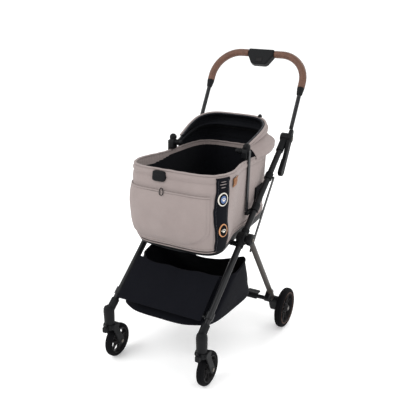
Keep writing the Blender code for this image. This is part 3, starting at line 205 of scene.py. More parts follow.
# zinc-plated steel: a metal shine broken by fine brushed streaks
def bareSteel(name, look):
    made, tree, shader = newMaterial(name, {"Base Color": linear(look["colour"]), "Metallic": 1.0})
    streaks = noise(tree, objectSpace(tree), 900.0)
    tree.links.new(remap(tree, streaks, {"To Min": 0.22, "To Max": 0.4}), shader.inputs["Roughness"])
    return made


greige = wovenCloth("greige_woven_polyester", finishes["greige"])
blackCloth = wovenCloth("black_woven_polyester", finishes["blackCloth"])
lining = wovenCloth("black_lining_cloth", finishes["lining"])
leather = grainedLeather("brown_pressed_grain_leather", finishes["leather"])
tan = grainedLeather("tan_vegetable_leather", finishes["tan"])
paint = coatedMetal("black_powder_coated_tube", finishes["paint"])
bronze = coatedMetal("dark_bronze_anodised_tube", finishes["bronze"])
plastic = moulded("black_grained_moulding", finishes["plastic"])
rubber = moulded("matt_tyre_rubber", finishes["rubber"])
rimPlastic = moulded("charcoal_wheel_moulding", finishes["rim"])
rimEdge = moulded("brown_wheel_band", finishes["rimEdge"])
steel = bareSteel("zinc_plated_steel", finishes["steel"])
greigeThread = thread("greige_thread", "#857A78")
blackThread = thread("charcoal_thread", "#3A3C44")
brownThread = thread("brown_thread", "#3E281D")
creamThread = thread("cream_thread", "#E3DDD2")
blueThread = thread("blue_embroidery", "#3F5F92")
orangeThread = thread("orange_embroidery", "#C98A55")
print("stage: materials made")


# an object at the origin from design-frame points, faces and one uv per point
def newObject(name, points, faces, materials, uv=None, slotOf=None):
    points = np.asarray(points, float).reshape(-1, 3) + rowShift
    mesh = bpy.data.meshes.new(name)
    mesh.from_pydata(points.tolist(), [], [list(face) for face in faces])
    if uv is not None:
        layer = mesh.uv_layers.new(name="UVMap")
        corners = np.empty(len(mesh.loops), int)
        mesh.loops.foreach_get("vertex_index", corners)
        layer.data.foreach_set("uv", np.asarray(uv, float).reshape(-1, 2)[corners].ravel())
    for item in materials if isinstance(materials, list) else [materials]:
        mesh.materials.append(item)
    mesh.polygons.foreach_set("use_smooth", np.ones(len(mesh.polygons), bool))
    if slotOf is not None:
        mesh.polygons.foreach_set("material_index", np.asarray(slotOf, int))
    mesh.update()
    made = bpy.data.objects.new(name, mesh)
    bpy.context.scene.collection.objects.link(made)
    return made


# the body a piece rides and the CAD node it stands for, which is hidden
def place(made, body, node=None):
    if node:
        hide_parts(node)
    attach(made, body)


# quads over points stored row by row; closed joins each row's ends, ring joins the last row to the first
def gridFaces(rows, columns, closed=False, ring=False, start=0, flip=False):
    i, k = np.meshgrid(np.arange(rows if ring else rows - 1), np.arange(columns if closed else columns - 1),
                       indexing="ij")
    j, m = (i + 1) % rows, (k + 1) % columns
    quads = np.stack([i * columns + k, i * columns + m, j * columns + m, j * columns + k], -1)
    quads = quads.reshape(-1, 4) + start
    return quads[:, ::-1] if flip else quads


# lengths across and along a grid in metres, so that cloth threads keep their size
def arcUv(grid):
    across, along = np.zeros(grid.shape[:2]), np.zeros(grid.shape[:2])
    across[:, 1:] = np.cumsum(np.linalg.norm(np.diff(grid, axis=1), axis=2).mean(0))[None]
    along[1:] = np.cumsum(np.linalg.norm(np.diff(grid, axis=0), axis=2).mean(1))[:, None]
    return np.stack([across, along], -1)


# unit normals of a grid: the cross product of its two directions
def gridNormals(grid, closed=False):
    across = np.roll(grid, -1, 1) - np.roll(grid, 1, 1) if closed else np.gradient(grid, axis=1)
    normal = np.cross(across, np.gradient(grid, axis=0))
    return normal / (np.linalg.norm(normal, axis=2, keepdims=True) + 1e-12)


# a closed cloth sheet: an outer grid, an inner grid behind it and a rim round the edge
def slab(name, outer, materials, inside, fullness=1.0):
    rows, columns = outer.shape[:2]
    count = rows * columns
    edge = np.concatenate([np.arange(columns), np.arange(2, rows + 1) * columns - 1,
                           (rows - 1) * columns + np.arange(columns - 2, -1, -1),
                           np.arange(rows - 2, 0, -1) * columns])
    after = np.roll(edge, -1)
    faces = [gridFaces(rows, columns), gridFaces(rows, columns, start=count, flip=True),
             np.stack([after, edge, edge + count, after + count], -1)]
    uv = arcUv(outer).reshape(-1, 2) * [1, fullness]  # gathered cloth has more length than it shows
    back = 1 if isinstance(materials, list) else 0
    slots = np.concatenate([np.zeros(len(faces[0])), np.full(len(faces[1]), back), np.zeros(len(faces[2]))])
    points = np.concatenate([outer.reshape(-1, 3), inside.reshape(-1, 3)])
    return fixNormals(newObject(name, points, np.concatenate(faces), materials, np.concatenate([uv, uv]), slots))


# a tub of cloth: a skin, a liner inside it facing the other way, and a lip that joins their first rows
def doubleWall(name, skin, liner, materials, uv, slotOf=None):
    rows, columns = skin.shape[:2]
    k, m = np.arange(columns), (np.arange(columns) + 1) % columns
    lip = np.stack([k, m, m + rows * columns, k + rows * columns], -1)[:, ::-1]
    faces = np.concatenate([gridFaces(rows, columns, closed=True),
                            gridFaces(rows, columns, closed=True, start=rows * columns, flip=True), lip])
    points = np.concatenate([skin.reshape(-1, 3), liner.reshape(-1, 3)])
    made = newObject(name, points, faces, materials, np.concatenate([uv, uv]), slotOf)
    return tidied(fixNormals(made), 60)


# tangent, side and up at each point of a path, turned as little as possible
def pathFrames(path, closed=False):
    path = np.asarray(path, float)
    tangent = np.roll(path, -1, 0) - np.roll(path, 1, 0) if closed else np.gradient(path, axis=0)
    tangent /= np.linalg.norm(tangent, axis=1, keepdims=True)
    side = np.array([1.0, 0, 0]) if abs(tangent[0, 0]) < 0.9 else np.array([0, 1.0, 0])
    across = []
    for t in tangent:
        side = side - t * (side @ t)
        side /= np.linalg.norm(side)
        across.append(side)
    across = np.array(across)
    return tangent, across, np.cross(tangent, across)


# a round or oval bar: each ring is the path point plus side times cosine and up times sine
def tube(name, path, radius, materials, around=24, high=None, closed=False, swell=None):
    path = np.asarray(path, float)
    _, side, up = pathFrames(path, closed)
    scale = np.ones(len(path)) if swell is None else np.asarray(swell)
    turn = np.arange(around) / around * tau
    high = radius if high is None else high
    ring = side[:, None] * (radius * np.cos(turn))[:, None] + up[:, None] * (high * np.sin(turn))[:, None]
    points = path[:, None] + ring * scale[:, None, None]
    length = np.concatenate([[0], np.cumsum(np.linalg.norm(np.diff(path, axis=0), axis=1))])
    uv = np.stack(np.broadcast_arrays((turn * radius)[None], length[:, None]), -1)
    faces = [list(quad) for quad in gridFaces(len(path), around, closed=True, ring=closed)]
    if not closed:
        faces += [list(range(around))[::-1], [(len(path) - 1) * around + k for k in range(around)]]
    return fixNormals(newObject(name, points, faces, materials, uv))


# turns a closed mesh the right way out: its signed volume must be positive
def fixNormals(made):
    mesh = made.data
    mesh.calc_loop_triangles()
    corners = np.empty(len(mesh.loop_triangles) * 3, int)
    mesh.loop_triangles.foreach_get("vertices", corners)
    places = np.empty(len(mesh.vertices) * 3)
    mesh.vertices.foreach_get("co", places)
    a, b, c = places.reshape(-1, 3)[corners.reshape(-1, 3)].transpose(1, 0, 2)
    if np.einsum("ij,ij->i", a, np.cross(b, c)).sum() < 0:
        mesh.flip_normals()
    return made


# a lathe: profile rows are (distance along the axis, radius) from the centre; closed joins the profile's ends
def turned(name, profile, centre, axis, materials, around=64, closed=False, sharp=35, slotRows=None):
    profile = np.asarray(profile, float)
    axis = np.asarray(axis, float) / np.linalg.norm(axis)
    side = np.cross(axis, [0, 0, 1.0] if abs(axis[2]) < 0.9 else [1.0, 0, 0])
    side /= np.linalg.norm(side)
    turn = np.arange(around) / around * tau
    out = side * np.cos(turn)[:, None] + np.cross(axis, side) * np.sin(turn)[:, None]
    points = np.asarray(centre) + axis * profile[:, 0][:, None, None] + out * profile[:, 1][:, None, None]
    slots = None if slotRows is None else np.repeat(slotRows, around)
    faces = gridFaces(len(profile), around, closed=True, ring=closed)
    return tidied(fixNormals(newObject(name, points, faces, materials, slotOf=slots)), sharp)


# merges doubled points at poles and marks edges sharper than the angle
def tidied(made, sharp=35):
    work = bmesh.new()
    work.from_mesh(made.data)
    bmesh.ops.remove_doubles(work, verts=work.verts, dist=2e-6)
    bmesh.ops.dissolve_degenerate(work, dist=1e-7, edges=work.edges)
    for edge in work.edges:
        edge.smooth = len(edge.link_faces) != 2 or edge.calc_face_angle(0) < math.radians(sharp)
    work.to_mesh(made.data)
    work.free()
    return made


# several meshes as one object; they keep their materials
def joined(name, objects):
    base = objects[0]
    with bpy.context.temp_override(active_object=base, selected_editable_objects=objects, object=base):
        bpy.ops.object.join()
    base.name = base.data.name = name
    return base


# a row of stitches: small flattened bars, narrow at their ends, spaced evenly along a path; sizes are in mm
def stitches(name, body, path, normals, material, lengthMm, gapMm, wideMm):
    steps = np.concatenate([[0], np.cumsum(np.linalg.norm(np.diff(path, axis=0), axis=1))])
    starts = np.arange(0, steps[-1] - lengthMm / 1000, (lengthMm + gapMm) / 1000)
    sample = lambda places, values: np.stack([np.interp(places, steps, values[:, i]) for i in range(3)], -1)
    a, b = sample(starts, path), sample(starts + lengthMm / 1000, path)
    along = (b - a) / (np.linalg.norm(b - a, axis=1, keepdims=True) + 1e-12)
    lift = sample(starts, np.broadcast_to(normals, path.shape))
    lift = lift / np.linalg.norm(lift, axis=1, keepdims=True)
    across = np.cross(along, lift)
    half, taper, proud = wideMm / 2000, along * lengthMm / 4000, 0.0003
    points = np.stack([end + across * half * w * narrow + lift * (half * h * 1.2 + proud)
                       for end, narrow in ((a, 0.5), (a + taper, 1), (b - taper, 1), (b, 0.5))
                       for w, h in ((-1, -0.4), (1, -0.4), (0.6, 0.6), (-0.6, 0.6))], 1)
    bar = np.concatenate([gridFaces(4, 4, closed=True), [[3, 2, 1, 0], [12, 13, 14, 15]]])
    faces = (bar[None] + (np.arange(len(starts)) * 16)[:, None, None]).reshape(-1, 4)
    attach(fixNormals(newObject(name, points, faces, material)), body)


# cloth ripples: a sum of sine waves with random rates and directions, the fast ones smaller
def foldNoise(u, v, seed, count=9, low=1.0, high=6.0):
    rng = np.random.RandomState(seed)
    total = np.zeros(np.broadcast(u, v).shape)
    for _ in range(count):
        rate, way = rng.uniform(low, high), rng.uniform(0, math.pi)
        phase = tau * rate * (u * math.cos(way) + v * math.sin(way)) + rng.uniform(0, tau)
        total = total + np.sin(phase) / rate ** 0.6
    return total / count ** 0.5


def smoothStep(x, low, high):
    t = np.clip((np.asarray(x, float) - low) / (high - low), 0, 1)
    return t * t * (3 - 2 * t)


# a bell curve, 1 at the middle
def bell(x, middle, wide):
    return np.exp(-((x - middle) / wide) ** 2)


# a carried-over CAD node gets its finish and a fine edge radius
def dress(nodes, material, bevel):
    for name in nodes:
        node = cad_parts[name]
        node.data.materials.clear()
        node.data.materials.append(material)
        if bevel:
            edge = node.modifiers.new("edge", "BEVEL")
            edge.width = bevel
            edge.segments = 2
            edge.limit_method = "ANGLE"
            edge.angle_limit = math.radians(40)
            edge.harden_normals = True


def pair(*names):
    return [f"{name}_{mark}" for name in names for _, mark in sides]


def unit(lean):
    return np.array([0, math.sin(math.radians(lean)), math.cos(math.radians(lean))])


def at(point, x):
    return np.array([x, point[1], point[2]])


def closeTo(shares, middle):
    return np.abs(((shares - middle + 0.5) % 1) - 0.5)  # distance round a loop of length 1


# the folding frame's lines in the design's frame: leans are degrees from upright, lengths are metres along a line
frameLines = {"legLean": 52.7, "handleLean": 30.9, "rearLean": 30.3, "pivot": (0, 0.268, 0.713), "hubDown": 0.462,
              "axleHigh": 0.078, "hood": (0, -0.018, 0.722)}
legDown = -unit(frameLines["legLean"])
handleUp = unit(frameLines["handleLean"])
rearDown = -unit(-frameLines["rearLean"])
pivot = np.array(frameLines["pivot"])
hood = np.array(frameLines["hood"])
hub = pivot + legDown * frameLines["hubDown"]
rearAxle = hub + rearDown * (hub[2] - frameLines["axleHigh"]) / math.cos(math.radians(frameLines["rearLean"]))
legFace = np.array([0, legDown[2], -legDown[1]])  # square to the front legs, forward and up

legs = {"x": 0.181, "radius": 0.011, "from": 0.030, "to": 0.8425}
rearLegs = {"topX": 0.2105, "footX": 0.233, "length": 0.3672, "wide": 0.0085, "deep": 0.0125, "knuckleX": 0.2017,
            "knuckle": [(0, 0), (0, 0.0195), (0.0006, 0.0206), (0.0025, 0.0215), (0.0145, 0.0215), (0.0172, 0.0203),
                        (0.0185, 0.0180), (0.0189, 0.0125), (0.0203, 0.0118), (0.0205, 0)]}


def buildTubes():
    for side, mark in sides:
        path = [at(pivot + legDown * s, side * legs["x"]) for s in np.linspace(legs["from"], legs["to"], 24)]
        place(tube("front_leg_tube_" + mark, path, legs["radius"], paint, 40), "chassis",
              "front_leg_" + mark)
        start = at(hub, side * rearLegs["topX"])
        end = at(hub + rearDown * rearLegs["length"], side * rearLegs["footX"])
        rear = tube("rear_leg_tube_" + mark, [start + (end - start) * s for s in np.linspace(0, 1, 16)],
                    rearLegs["wide"], bronze, 40, high=rearLegs["deep"])
        knuckle = turned("knuckle", rearLegs["knuckle"], at(hub, side * rearLegs["knuckleX"]), (side, 0, 0),
                         plastic)
        place(joined("rear_leg_tube_" + mark, [rear, knuckle]), "rear_frame", "rear_leg_" + mark)


handle = {"radius": 0.008, "reach": 0.1965, "top": 0.33447, "corner": 0.110, "foot": 0.0366, "gripRadius": 0.0142,
          "gripFoot": 0.205, "gripEnd": 0.0564, "collarFoot": 0.175,
          "collar": [(0, 0.0086), (0, 0.0098), (0.0008, 0.0104), (0.003, 0.0110), (0.012, 0.0122), (0.0135, 0.0121),
                     (0.0145, 0.0124), (0.024, 0.0140), (0.0285, 0.0143), (0.0294, 0.0138), (0.0294, 0.0086)]}


# half of the bar: straight up, a quarter-circle bend, then level to a sideways stop
def handlePath(start, stopX, side, steps=40):
    top, corner, reach = handle["top"], handle["corner"], handle["reach"]
    rows = [(reach, s) for s in np.linspace(start, top - corner, 14)[:-1]]
    rows += [(reach - corner * (1 - math.cos(t)), top - corner + corner * math.sin(t))
             for t in np.linspace(0, math.pi / 2, steps)]
    rows += [(x, top) for x in np.linspace(reach - corner, stopX, 10)[1:]]
    return np.array([at(pivot + handleUp * s, side * x) for x, s in rows])


def buildHandle():
    left, right = [handlePath(handle["foot"], 0.0, side) for side, _ in sides]
    bar = tube("handle_bar_tube", np.concatenate([left, right[-2::-1]]), handle["radius"], paint, 36)
    place(bar, "handle", "handle_tube")
    face = np.array([0, -handleUp[2], handleUp[1]])
    for side, mark in sides:
        path = handlePath(handle["gripFoot"], handle["gripEnd"], side, 60)
        share = np.linspace(0, 1, len(path))
        swell = 1 + 0.012 * np.sin(share * tau * 17) * np.sin(share * math.pi)  # the wrap's slight unevenness
        swell -= 0.06 * (1 - smoothStep(share, 0, 0.012)) + 0.06 * smoothStep(share, 0.988, 1)  # rounded ends
        grip = tube("leather_grip_" + mark, path, handle["gripRadius"], leather, 48, swell=swell)
        place(grip, "handle", "grip_" + mark)
        inward = np.cross(pathFrames(path)[0], face) * side
        inward /= np.linalg.norm(inward, axis=1, keepdims=True)
        for k, lean in enumerate((-0.10, 0.10)):  # two rows of stitches close the wrap along its inner side
            way = inward * math.cos(lean) + face * math.sin(lean)
            stitches(f"grip_stitches_{k}_{mark}", "handle", path + way * (handle["gripRadius"] + 0.00015), way,
                     brownThread, 3.4, 2.0, 0.7)
        collar = turned("grip_collar_ring_" + mark, handle["collar"],
                        at(pivot + handleUp * handle["collarFoot"], side * handle["reach"]), handleUp, plastic, 56,
                        closed=True)
        place(collar, "handle", "grip_collar_" + mark)


wheelLook = {"front": {"radius": 0.061, "wide": 0.030, "band": 0.0130, "spokes": 7, "spoke": 0.0078,
                       "axle": 0.0042},
             "rear": {"radius": 0.078, "wide": 0.031, "band": 0.0150, "spokes": 8, "spoke": 0.0054,
                      "axle": 0.0052}}
wheelPlace = {"frontX": 0.185, "frontY": -0.36741, "rearX": 0.274, "boltX": 0.02295}
capProfile = [(0.0168, 0), (0.0168, 0.0058), (0.0160, 0.0068), (0.0152, 0.0070), (0.0152, 0)]
boltProfile = [(0, 0), (0, 0.0060), (0.0004, 0.0064), (0.0014, 0.0064), (0.0020, 0.0058), (0.0020, 0.0034),
               (0.0010, 0.0030), (0.0010, 0)]


# tyre: a crowned profile with two grooves; centre: ring, tapered double-curved spokes and a stepped hub cap
def buildWheel(kind, mark, centre, body, outward):
    look, across = wheelLook[kind], np.linspace(-1, 1, 25)
    radius, half, inner = look["radius"], look["wide"] / 2, look["radius"] - look["band"]
    crown = radius - 0.0100 * np.abs(across) ** 3.4 - 0.0011 * bell(np.abs(across), 0.34, 0.05)
    tread = [(half * a * (1 - 0.04 * abs(a)), r) for a, r in zip(across, crown)]
    tyre = turned(f"{kind}_tyre_solid_{mark}", [(-half + 0.003, inner)] + tread + [(half - 0.003, inner)], centre,
                  (1, 0, 0), rubber, 120, closed=True, sharp=50)
    place(tyre, body, f"{kind}_tyre_{mark}")
    ring = inner - 0.0004
    lips = [(half - 0.0032, ring), (half - 0.0022, ring - 0.0012), (half - 0.0030, ring - 0.0030),
            (0.0055, ring - 0.0062)]
    hoop = turned("hoop", [(-x, r) for x, r in lips] + lips[::-1], centre, (1, 0, 0), [rimPlastic, rimEdge], 120,
                  closed=True, sharp=30, slotRows=[1, 1, 0, 0, 0, 1, 1, 0] if kind == "rear" else [0] * 8)
    steps = [(half + 0.0013, look["axle"] + 0.0006), (half + 0.0013, 0.0100), (half + 0.0003, 0.0112),
             (half - 0.004, 0.0125), (0.0058, 0.0168)]
    core = turned("core", [(-x, r) for x, r in steps] + steps[::-1], centre, (1, 0, 0), rimPlastic, 72, closed=True)
    parts, share = [hoop, core], np.linspace(0, 1, 12)
    for k in range(look["spokes"]):
        reach = 0.014 + (ring - 0.0035 - 0.014) * share
        bend = k / look["spokes"] * tau + 0.2 + 0.10 * np.sin(math.pi * share)
        path = np.asarray(centre) + np.stack([0 * share, reach * np.cos(bend), reach * np.sin(bend)], -1)
        parts.append(tube("spoke", path, look["spoke"], rimPlastic, 20, high=0.0036,
                          swell=1.15 - 0.45 * np.sin(math.pi * share) ** 0.8))
    place(joined(f"{kind}_wheel_centre_{mark}", parts), body, f"{kind}_rim_{mark}")
    if kind == "rear":
        place(turned(f"rear_wheel_cap_{mark}", capProfile, centre, (outward, 0, 0), steel, 48), body)


def buildWheels():
    for side, mark in sides:
        axle = np.array([side * wheelPlace["frontX"], wheelPlace["frontY"], wheelLook["front"]["radius"]])
        buildWheel("front", mark, axle, "front_wheel_" + mark, side)
        buildWheel("rear", mark, at(rearAxle, side * wheelPlace["rearX"]), "rear_wheel_" + mark, side)
        for hand in (-1, 1):
            bolt = turned(f"caster_bolt_{mark}_{'in' if hand * side < 0 else 'out'}", boltProfile,
                          axle + [hand * wheelPlace["boltX"], 0, 0], (hand, 0, 0), steel, 40)
            place(bolt, "caster_" + mark)


# an oblong with rounded corners (a superellipse), evenly spaced by length: share 0 is right, 0.75 front
def ovalRow(shares, halfX, front, back, corner):
    turn = np.linspace(0, tau, 2881)
    c, s = np.cos(turn), np.sin(turn)
    x = halfX * np.sign(c) * np.abs(c) ** (2 / corner)
    y = (front + back) / 2 + (back - front) / 2 * np.sign(s) * np.abs(s) ** (2 / corner)
    steps = np.concatenate([[0], np.cumsum(np.hypot(np.diff(x), np.diff(y)))])
    goal = (np.asarray(shares) % 1) * steps[-1]
    return np.interp(goal, steps, x), np.interp(goal, steps, y)


# around and tall are the wall's size in metres, which turn shares and heights into lengths
shell = {"half": 0.1575, "front": -0.284, "back": 0.220, "middle": -0.032, "corner": 5.2, "floor": 0.428,
         "bulge": 0.020, "flare": 0.170, "rim": 0.688, "rise": 0.012, "wall": 0.006, "around": 1.38, "tall": 0.262}


# the rim's height at a depth along the carrier: it rises a little towards the front
def rimLevel(y, front, back):
    return shell["rim"] + shell["rise"] * (1 - 2 * (y - front) / (back - front))


# one level of the wall: the oblong bulges forward at mid height and its front half widens past the frame
def wallRow(shares, height, lift=0.0):
    under = max(0.0, 1 - height)
    half = shell["half"] - 0.0080 * under ** 1.6 + lift
    bulge = math.sin(math.pi * min(1.0, height * 1.06)) * shell["bulge"]
    front = shell["front"] + 0.010 * under ** 1.3 - bulge - lift
    back = shell["back"] - 0.010 * (1 - height) + lift
    x, y = ovalRow(shares, half, front, back, shell["corner"])
    z = shell["floor"] + (rimLevel(y, front, back) - shell["floor"]) * height
    ease = smoothStep(-0.050 - 0.070 * (1 - height) - y, -0.006, 0.150)
    x = x * (1 + shell["flare"] * (1 + 0.30 * math.sin(math.pi * height)) * ease)
    return np.stack([x, y, z], -1)


# the wall and its outward plan normals on a fine even grid, to read between
def wallTable():
    rows = np.stack([wallRow(np.arange(1441) / 1440, height) for height in np.linspace(-0.06, 1.04, 111)])
    k = np.arange(1441)
    out = np.cross(rows[:, (k + 1) % 1440] - rows[:, (k - 1) % 1440], [0, 0, 1.0])
    return rows, out / np.linalg.norm(out, axis=2, keepdims=True)


wallRows, wallOut = wallTable()


# points on the wall at any shares and heights, read between the four nearest points of the table
def wall(shares, heights, lift=0.0):
    shares, heights, lift = np.broadcast_arrays(shares, heights, lift)
    row = np.clip((heights + 0.06) * 100, 0, 109.999)
    column = (shares % 1) * 1440
    i, k = row.astype(int), column.astype(int)
    a, b = (row - i)[..., None], (column - k)[..., None]
    between = lambda grid: ((grid[i, k] * (1 - b) + grid[i, k + 1] * b) * (1 - a)
                            + (grid[i + 1, k] * (1 - b) + grid[i + 1, k + 1] * b) * a)
    return between(wallRows) + between(wallOut) * lift[..., None]


# how far the cloth stands off the board: sag low at the front corners, slack diagonals, puckers, a rolled top edge
# with a seam under it and a band over the pocket
def clothLift(shares, heights):
    front = smoothStep(closeTo(shares, 0.75), 0.26, 0.14)
    ripple = foldNoise(shares * 1.35, heights * 0.27, 4, 10, 3, 11) * 0.0011
    sag = 0.0045 * bell(heights, 0.22, 0.16) * front
    drape = 0.0022 * np.sin(tau * (shares * 9 + heights * 1.4)) * bell(heights, 0.35, 0.3) * front
    corner = 0.0025 * bell(shares, 0.635, 0.03) * np.sin(tau * heights * 2.2)
    roll = 0.0030 * bell(heights, 0.962, 0.024) - 0.0012 * bell(heights, 0.925, 0.008)
    band = 0.0022 * np.sin(math.pi * np.clip((heights - 0.79) / 0.13, 0, 1)) - 0.0010 * bell(heights, 0.785, 0.008)
    band = band * smoothStep(closeTo(shares, 0.735), 0.125, 0.100)
    cloth = ripple * 1.5 + sag + drape * 1.4 + corner
    return cloth * smoothStep(heights, 0.0, 0.05) * smoothStep(heights, 1.0, 0.93) + roll + band


def onCloth(shares, heights, lift=0.0):
    return wall(shares, heights, lift + clothLift(shares, heights))


# rows that carry a wall's last row in to the middle of the floor, ending in one point
def onFloor(grid, level, rings=14):
    last, middle = grid[-1], grid[-1].mean(0)
    middle[2] = level
    share = np.linspace(0, 1, rings + 1)[1:, None, None]
    rows = last[None] + (middle - last)[None] * share
    rows[..., 2] = level + (last[None, :, 2] - level) * (1 - smoothStep(share[..., 0], 0, 0.15))
    return np.concatenate([grid, rows])


# outside cloth over the wall and its slack, tucked in at the foot; inside lining with gathers under the facing
def buildCarrier():
    columns, levels = 420, 84
    s, h = np.broadcast_arrays(np.arange(columns)[None] / columns, np.linspace(1.0, 0.0, levels)[:, None])
    outer = wall(s, h, 0.0)
    centre = np.array([0, shell["middle"], 0])
    outer = centre + (outer - centre) * (1 - np.array([0.035, 0.025, 0]) * smoothStep(h, 0.07, 0.0)[..., None])
    normal = gridNormals(outer, closed=True)
    normal *= np.sign((normal[..., :2] * (outer - centre)[..., :2]).sum(2))[..., None]
    skin = onFloor(outer + normal * clothLift(s, h)[..., None], shell["floor"] + 0.0002)
    inner = wall(s[::-1], np.linspace(0.018, 1.0, levels)[:, None] + 0 * s, -shell["wall"])[::-1]
    gather = 0.0011 * np.sin(tau * s * 120 + 2 * foldNoise(s * 3, h, 2, 5, 1, 4)) * smoothStep(h, 0.88, 0.93)
    slack = (foldNoise(s * 1.3, h * 0.27, 9, 10, 4, 14) * 0.0012 - 0.0009) * smoothStep(h, 1.0, 0.95)
    inner = inner + normal * (slack + gather * smoothStep(h, 1.0, 0.985))[..., None]
    liner = onFloor(inner, shell["floor"] + shell["wall"])
    rows = len(skin)
    uv = np.stack(np.broadcast_arrays(np.arange(columns)[None] / columns * 1.35,
                                      np.linspace(0.27, -0.2, rows)[:, None]), -1)
    facing = np.ones((rows - 1, columns))  # the lining's top rows are greige, deeper round the front
    deep = 4 + 5 * smoothStep(s[0], 0.49, 0.57) * smoothStep(s[0], 1.0, 0.93)
    facing[np.arange(rows - 1)[:, None] < np.round(deep)] = 0
    slots = np.concatenate([np.zeros((rows - 1) * columns), facing.ravel(), np.zeros(columns)])
    place(doubleWall("carrier_cloth_body", skin, liner, [greige, lining], uv, slots), "carrier",
          "carrier_shell")


# tray: levels are (how far down from the tray's top, how far out), going round its section
trim = {"bindingWide": 0.0046, "bindingHigh": 0.0034, "pipingRadius": 0.0019,
        "seams": (("roll", 0.915, 0.0, 1.0), ("band", 0.775, 0.625, 0.225)),
        "piping": (("low", 0.010), ("high", 0.052)),
        "tray": [(0.0, -0.0012), (0.0, 0.0014), (-0.012, 0.0020), (-0.5, 0.0016), (-1.0, 0.0004), (-1.25, -0.0020),
                 (-1.32, -0.0060), (-1.32, -0.0120), (-1.0, -0.0120)], "trayUnder": 0.028}


# a bound rim, two rows of stitches, and a black moulded tray edge that holds the cloth's foot, low in front and
# higher along the sides, with two pipings over it
def buildCarrierTrim():
    shares = np.arange(480) / 480
    edge = wallRow(shares, 1.0, -0.003) + [0, 0, trim["bindingHigh"]]
    edge[:, 2] += 0.0005 * np.sin(tau * shares * 33) * np.sin(tau * shares * 5)
    place(tube("carrier_rim_binding", edge, trim["bindingWide"], greige, 20, high=trim["bindingHigh"], closed=True),
          "carrier", "carrier_rim")
    for name, height, start, reach in trim["seams"]:
        part = start + reach * np.linspace(0, 1, 1200)
        stitches(f"carrier_{name}_stitches", "carrier", onCloth(part, height, 0.0006),
                 onCloth(part, height, 0.004) - wall(part, height), greigeThread, 3.4, 2.4, 0.6)
    top = 0.004 + 0.078 * smoothStep(closeTo(shares, 0.75), 0.075, 0.150)
    under = trim["trayUnder"]
    heights = np.stack([top + (top + under) * down if down > -1.0 else -under + 0 * top + (down + 1) * 0.03
                        for down, _ in trim["tray"]])
    tray = wall(np.tile(shares, (len(heights), 1)), heights, np.array([out for _, out in trim["tray"]])[:, None])
    faces = gridFaces(len(heights), len(shares), closed=True, ring=True)
    place(tidied(fixNormals(newObject("carrier_tray_edge", tray, faces, plastic)), 50), "carrier")
    for name, rise in trim["piping"]:
        place(tube(f"carrier_{name}_piping", onCloth(shares, top + rise, 0.0010), trim["pipingRadius"], greige, 12,
                   closed=True), "carrier")


pocket = {"middle": 0.7200, "half": 0.1130, "low": 0.085, "high": 0.745, "cordWide": 0.0022, "cordHigh": 0.0030}


# shares and heights of the pocket: straight at the top, round at its two lower corners (a superellipse's quarter)
def pocketGrid(rows, columns):
    v, u = np.linspace(0, 1, rows)[:, None], np.linspace(-1, 1, columns)[None]
    narrow = (1 - np.clip((1 - v - 0.55) / 0.45, 0, 1) ** 2.6) ** (1 / 2.6)
    shares = pocket["middle"] + u * pocket["half"] * (0.98 * narrow + 0.02)
    return shares, pocket["low"] + (pocket["high"] - pocket["low"]) * v + 0 * u


# the pocket's cloth: a belly that is fullest in the middle, with soft folds, eased down at its edges
def buildFrontPocket():
    rows, columns = 70, 150
    shares, heights = pocketGrid(rows, columns)
    v, u = np.linspace(0, 1, rows)[:, None], np.linspace(-1, 1, columns)[None]
    inside = np.minimum(smoothStep(1 - np.abs(u), 0, 0.10), smoothStep(v, 0, 0.10))
    belly = 0.0045 * np.sin(math.pi * v) ** 0.8 * np.cos(u * math.pi / 2)
    folds = foldNoise(u * 0.5, v * 0.4, 21, 10, 1.5, 6) * 0.0021
    folds = folds + 0.0018 * np.sin(tau * (u * 1.1 + v * 1.7)) * (1 - v)
    folds = folds + 0.0016 * np.sin(tau * (u * 2.3 - v * 0.8 + 0.2)) * bell(v, 0.7, 0.3)
    lift = 0.0010 + clothLift(shares, heights) + inside * (0.0026 + belly + folds)
    outer = wall(shares, heights, lift)
    inner = wall(shares, heights, lift - 0.0024 - 0.001 * inside)
    place(slab("front_pocket_cloth", outer, greige, inner), "carrier")
    hem, out = [np.concatenate([grid[2:-1, 4][::-1], grid[2, 4:-4], grid[2:-1, -5]])
                for grid in (outer, outer - inner)]
    stitches("front_pocket_stitches", "carrier", hem, out, greigeThread, 3.2, 1.9, 0.75)
    top, ease = (shares[-1], heights[-1]), clothLift(shares[-1], heights[-1])
    cord = wall(top[0], top[1] + 0.012, ease + 0.0028)
    place(tube("front_zip_cord", cord, pocket["cordWide"], greige, 12, high=pocket["cordHigh"]), "carrier")
    flap = wall(top[0], top[1] + 0.030, ease + 0.0040) + [0, 0, 0.006]
    stitches("zip_flap_stitches", "carrier", flap, [0, -1.0, 0.1], greigeThread, 3.2, 1.9, 0.7)
    # a slanting panel seam runs down the pocket's left side, and one more stands beside the strap
    way = np.linspace(0, 1, 160)
    for name, path in (("slant", onCloth(0.640 + 0.046 * way ** 1.4, 0.72 - 0.34 * way, 0.0058)),
                       ("upright", onCloth(0.8405 + 0 * way, 0.76 - 0.66 * way, 0.0008))):
        place(tube(f"pocket_{name}_seam", path, 0.0009, greigeThread, 8), "carrier")


zipPull = {"share": 0.737, "height": 0.758, "halfWide": 0.0045, "footWider": 0.0010, "halfHigh": 0.0115,
           "lift": 0.0078, "wire": 0.0014}


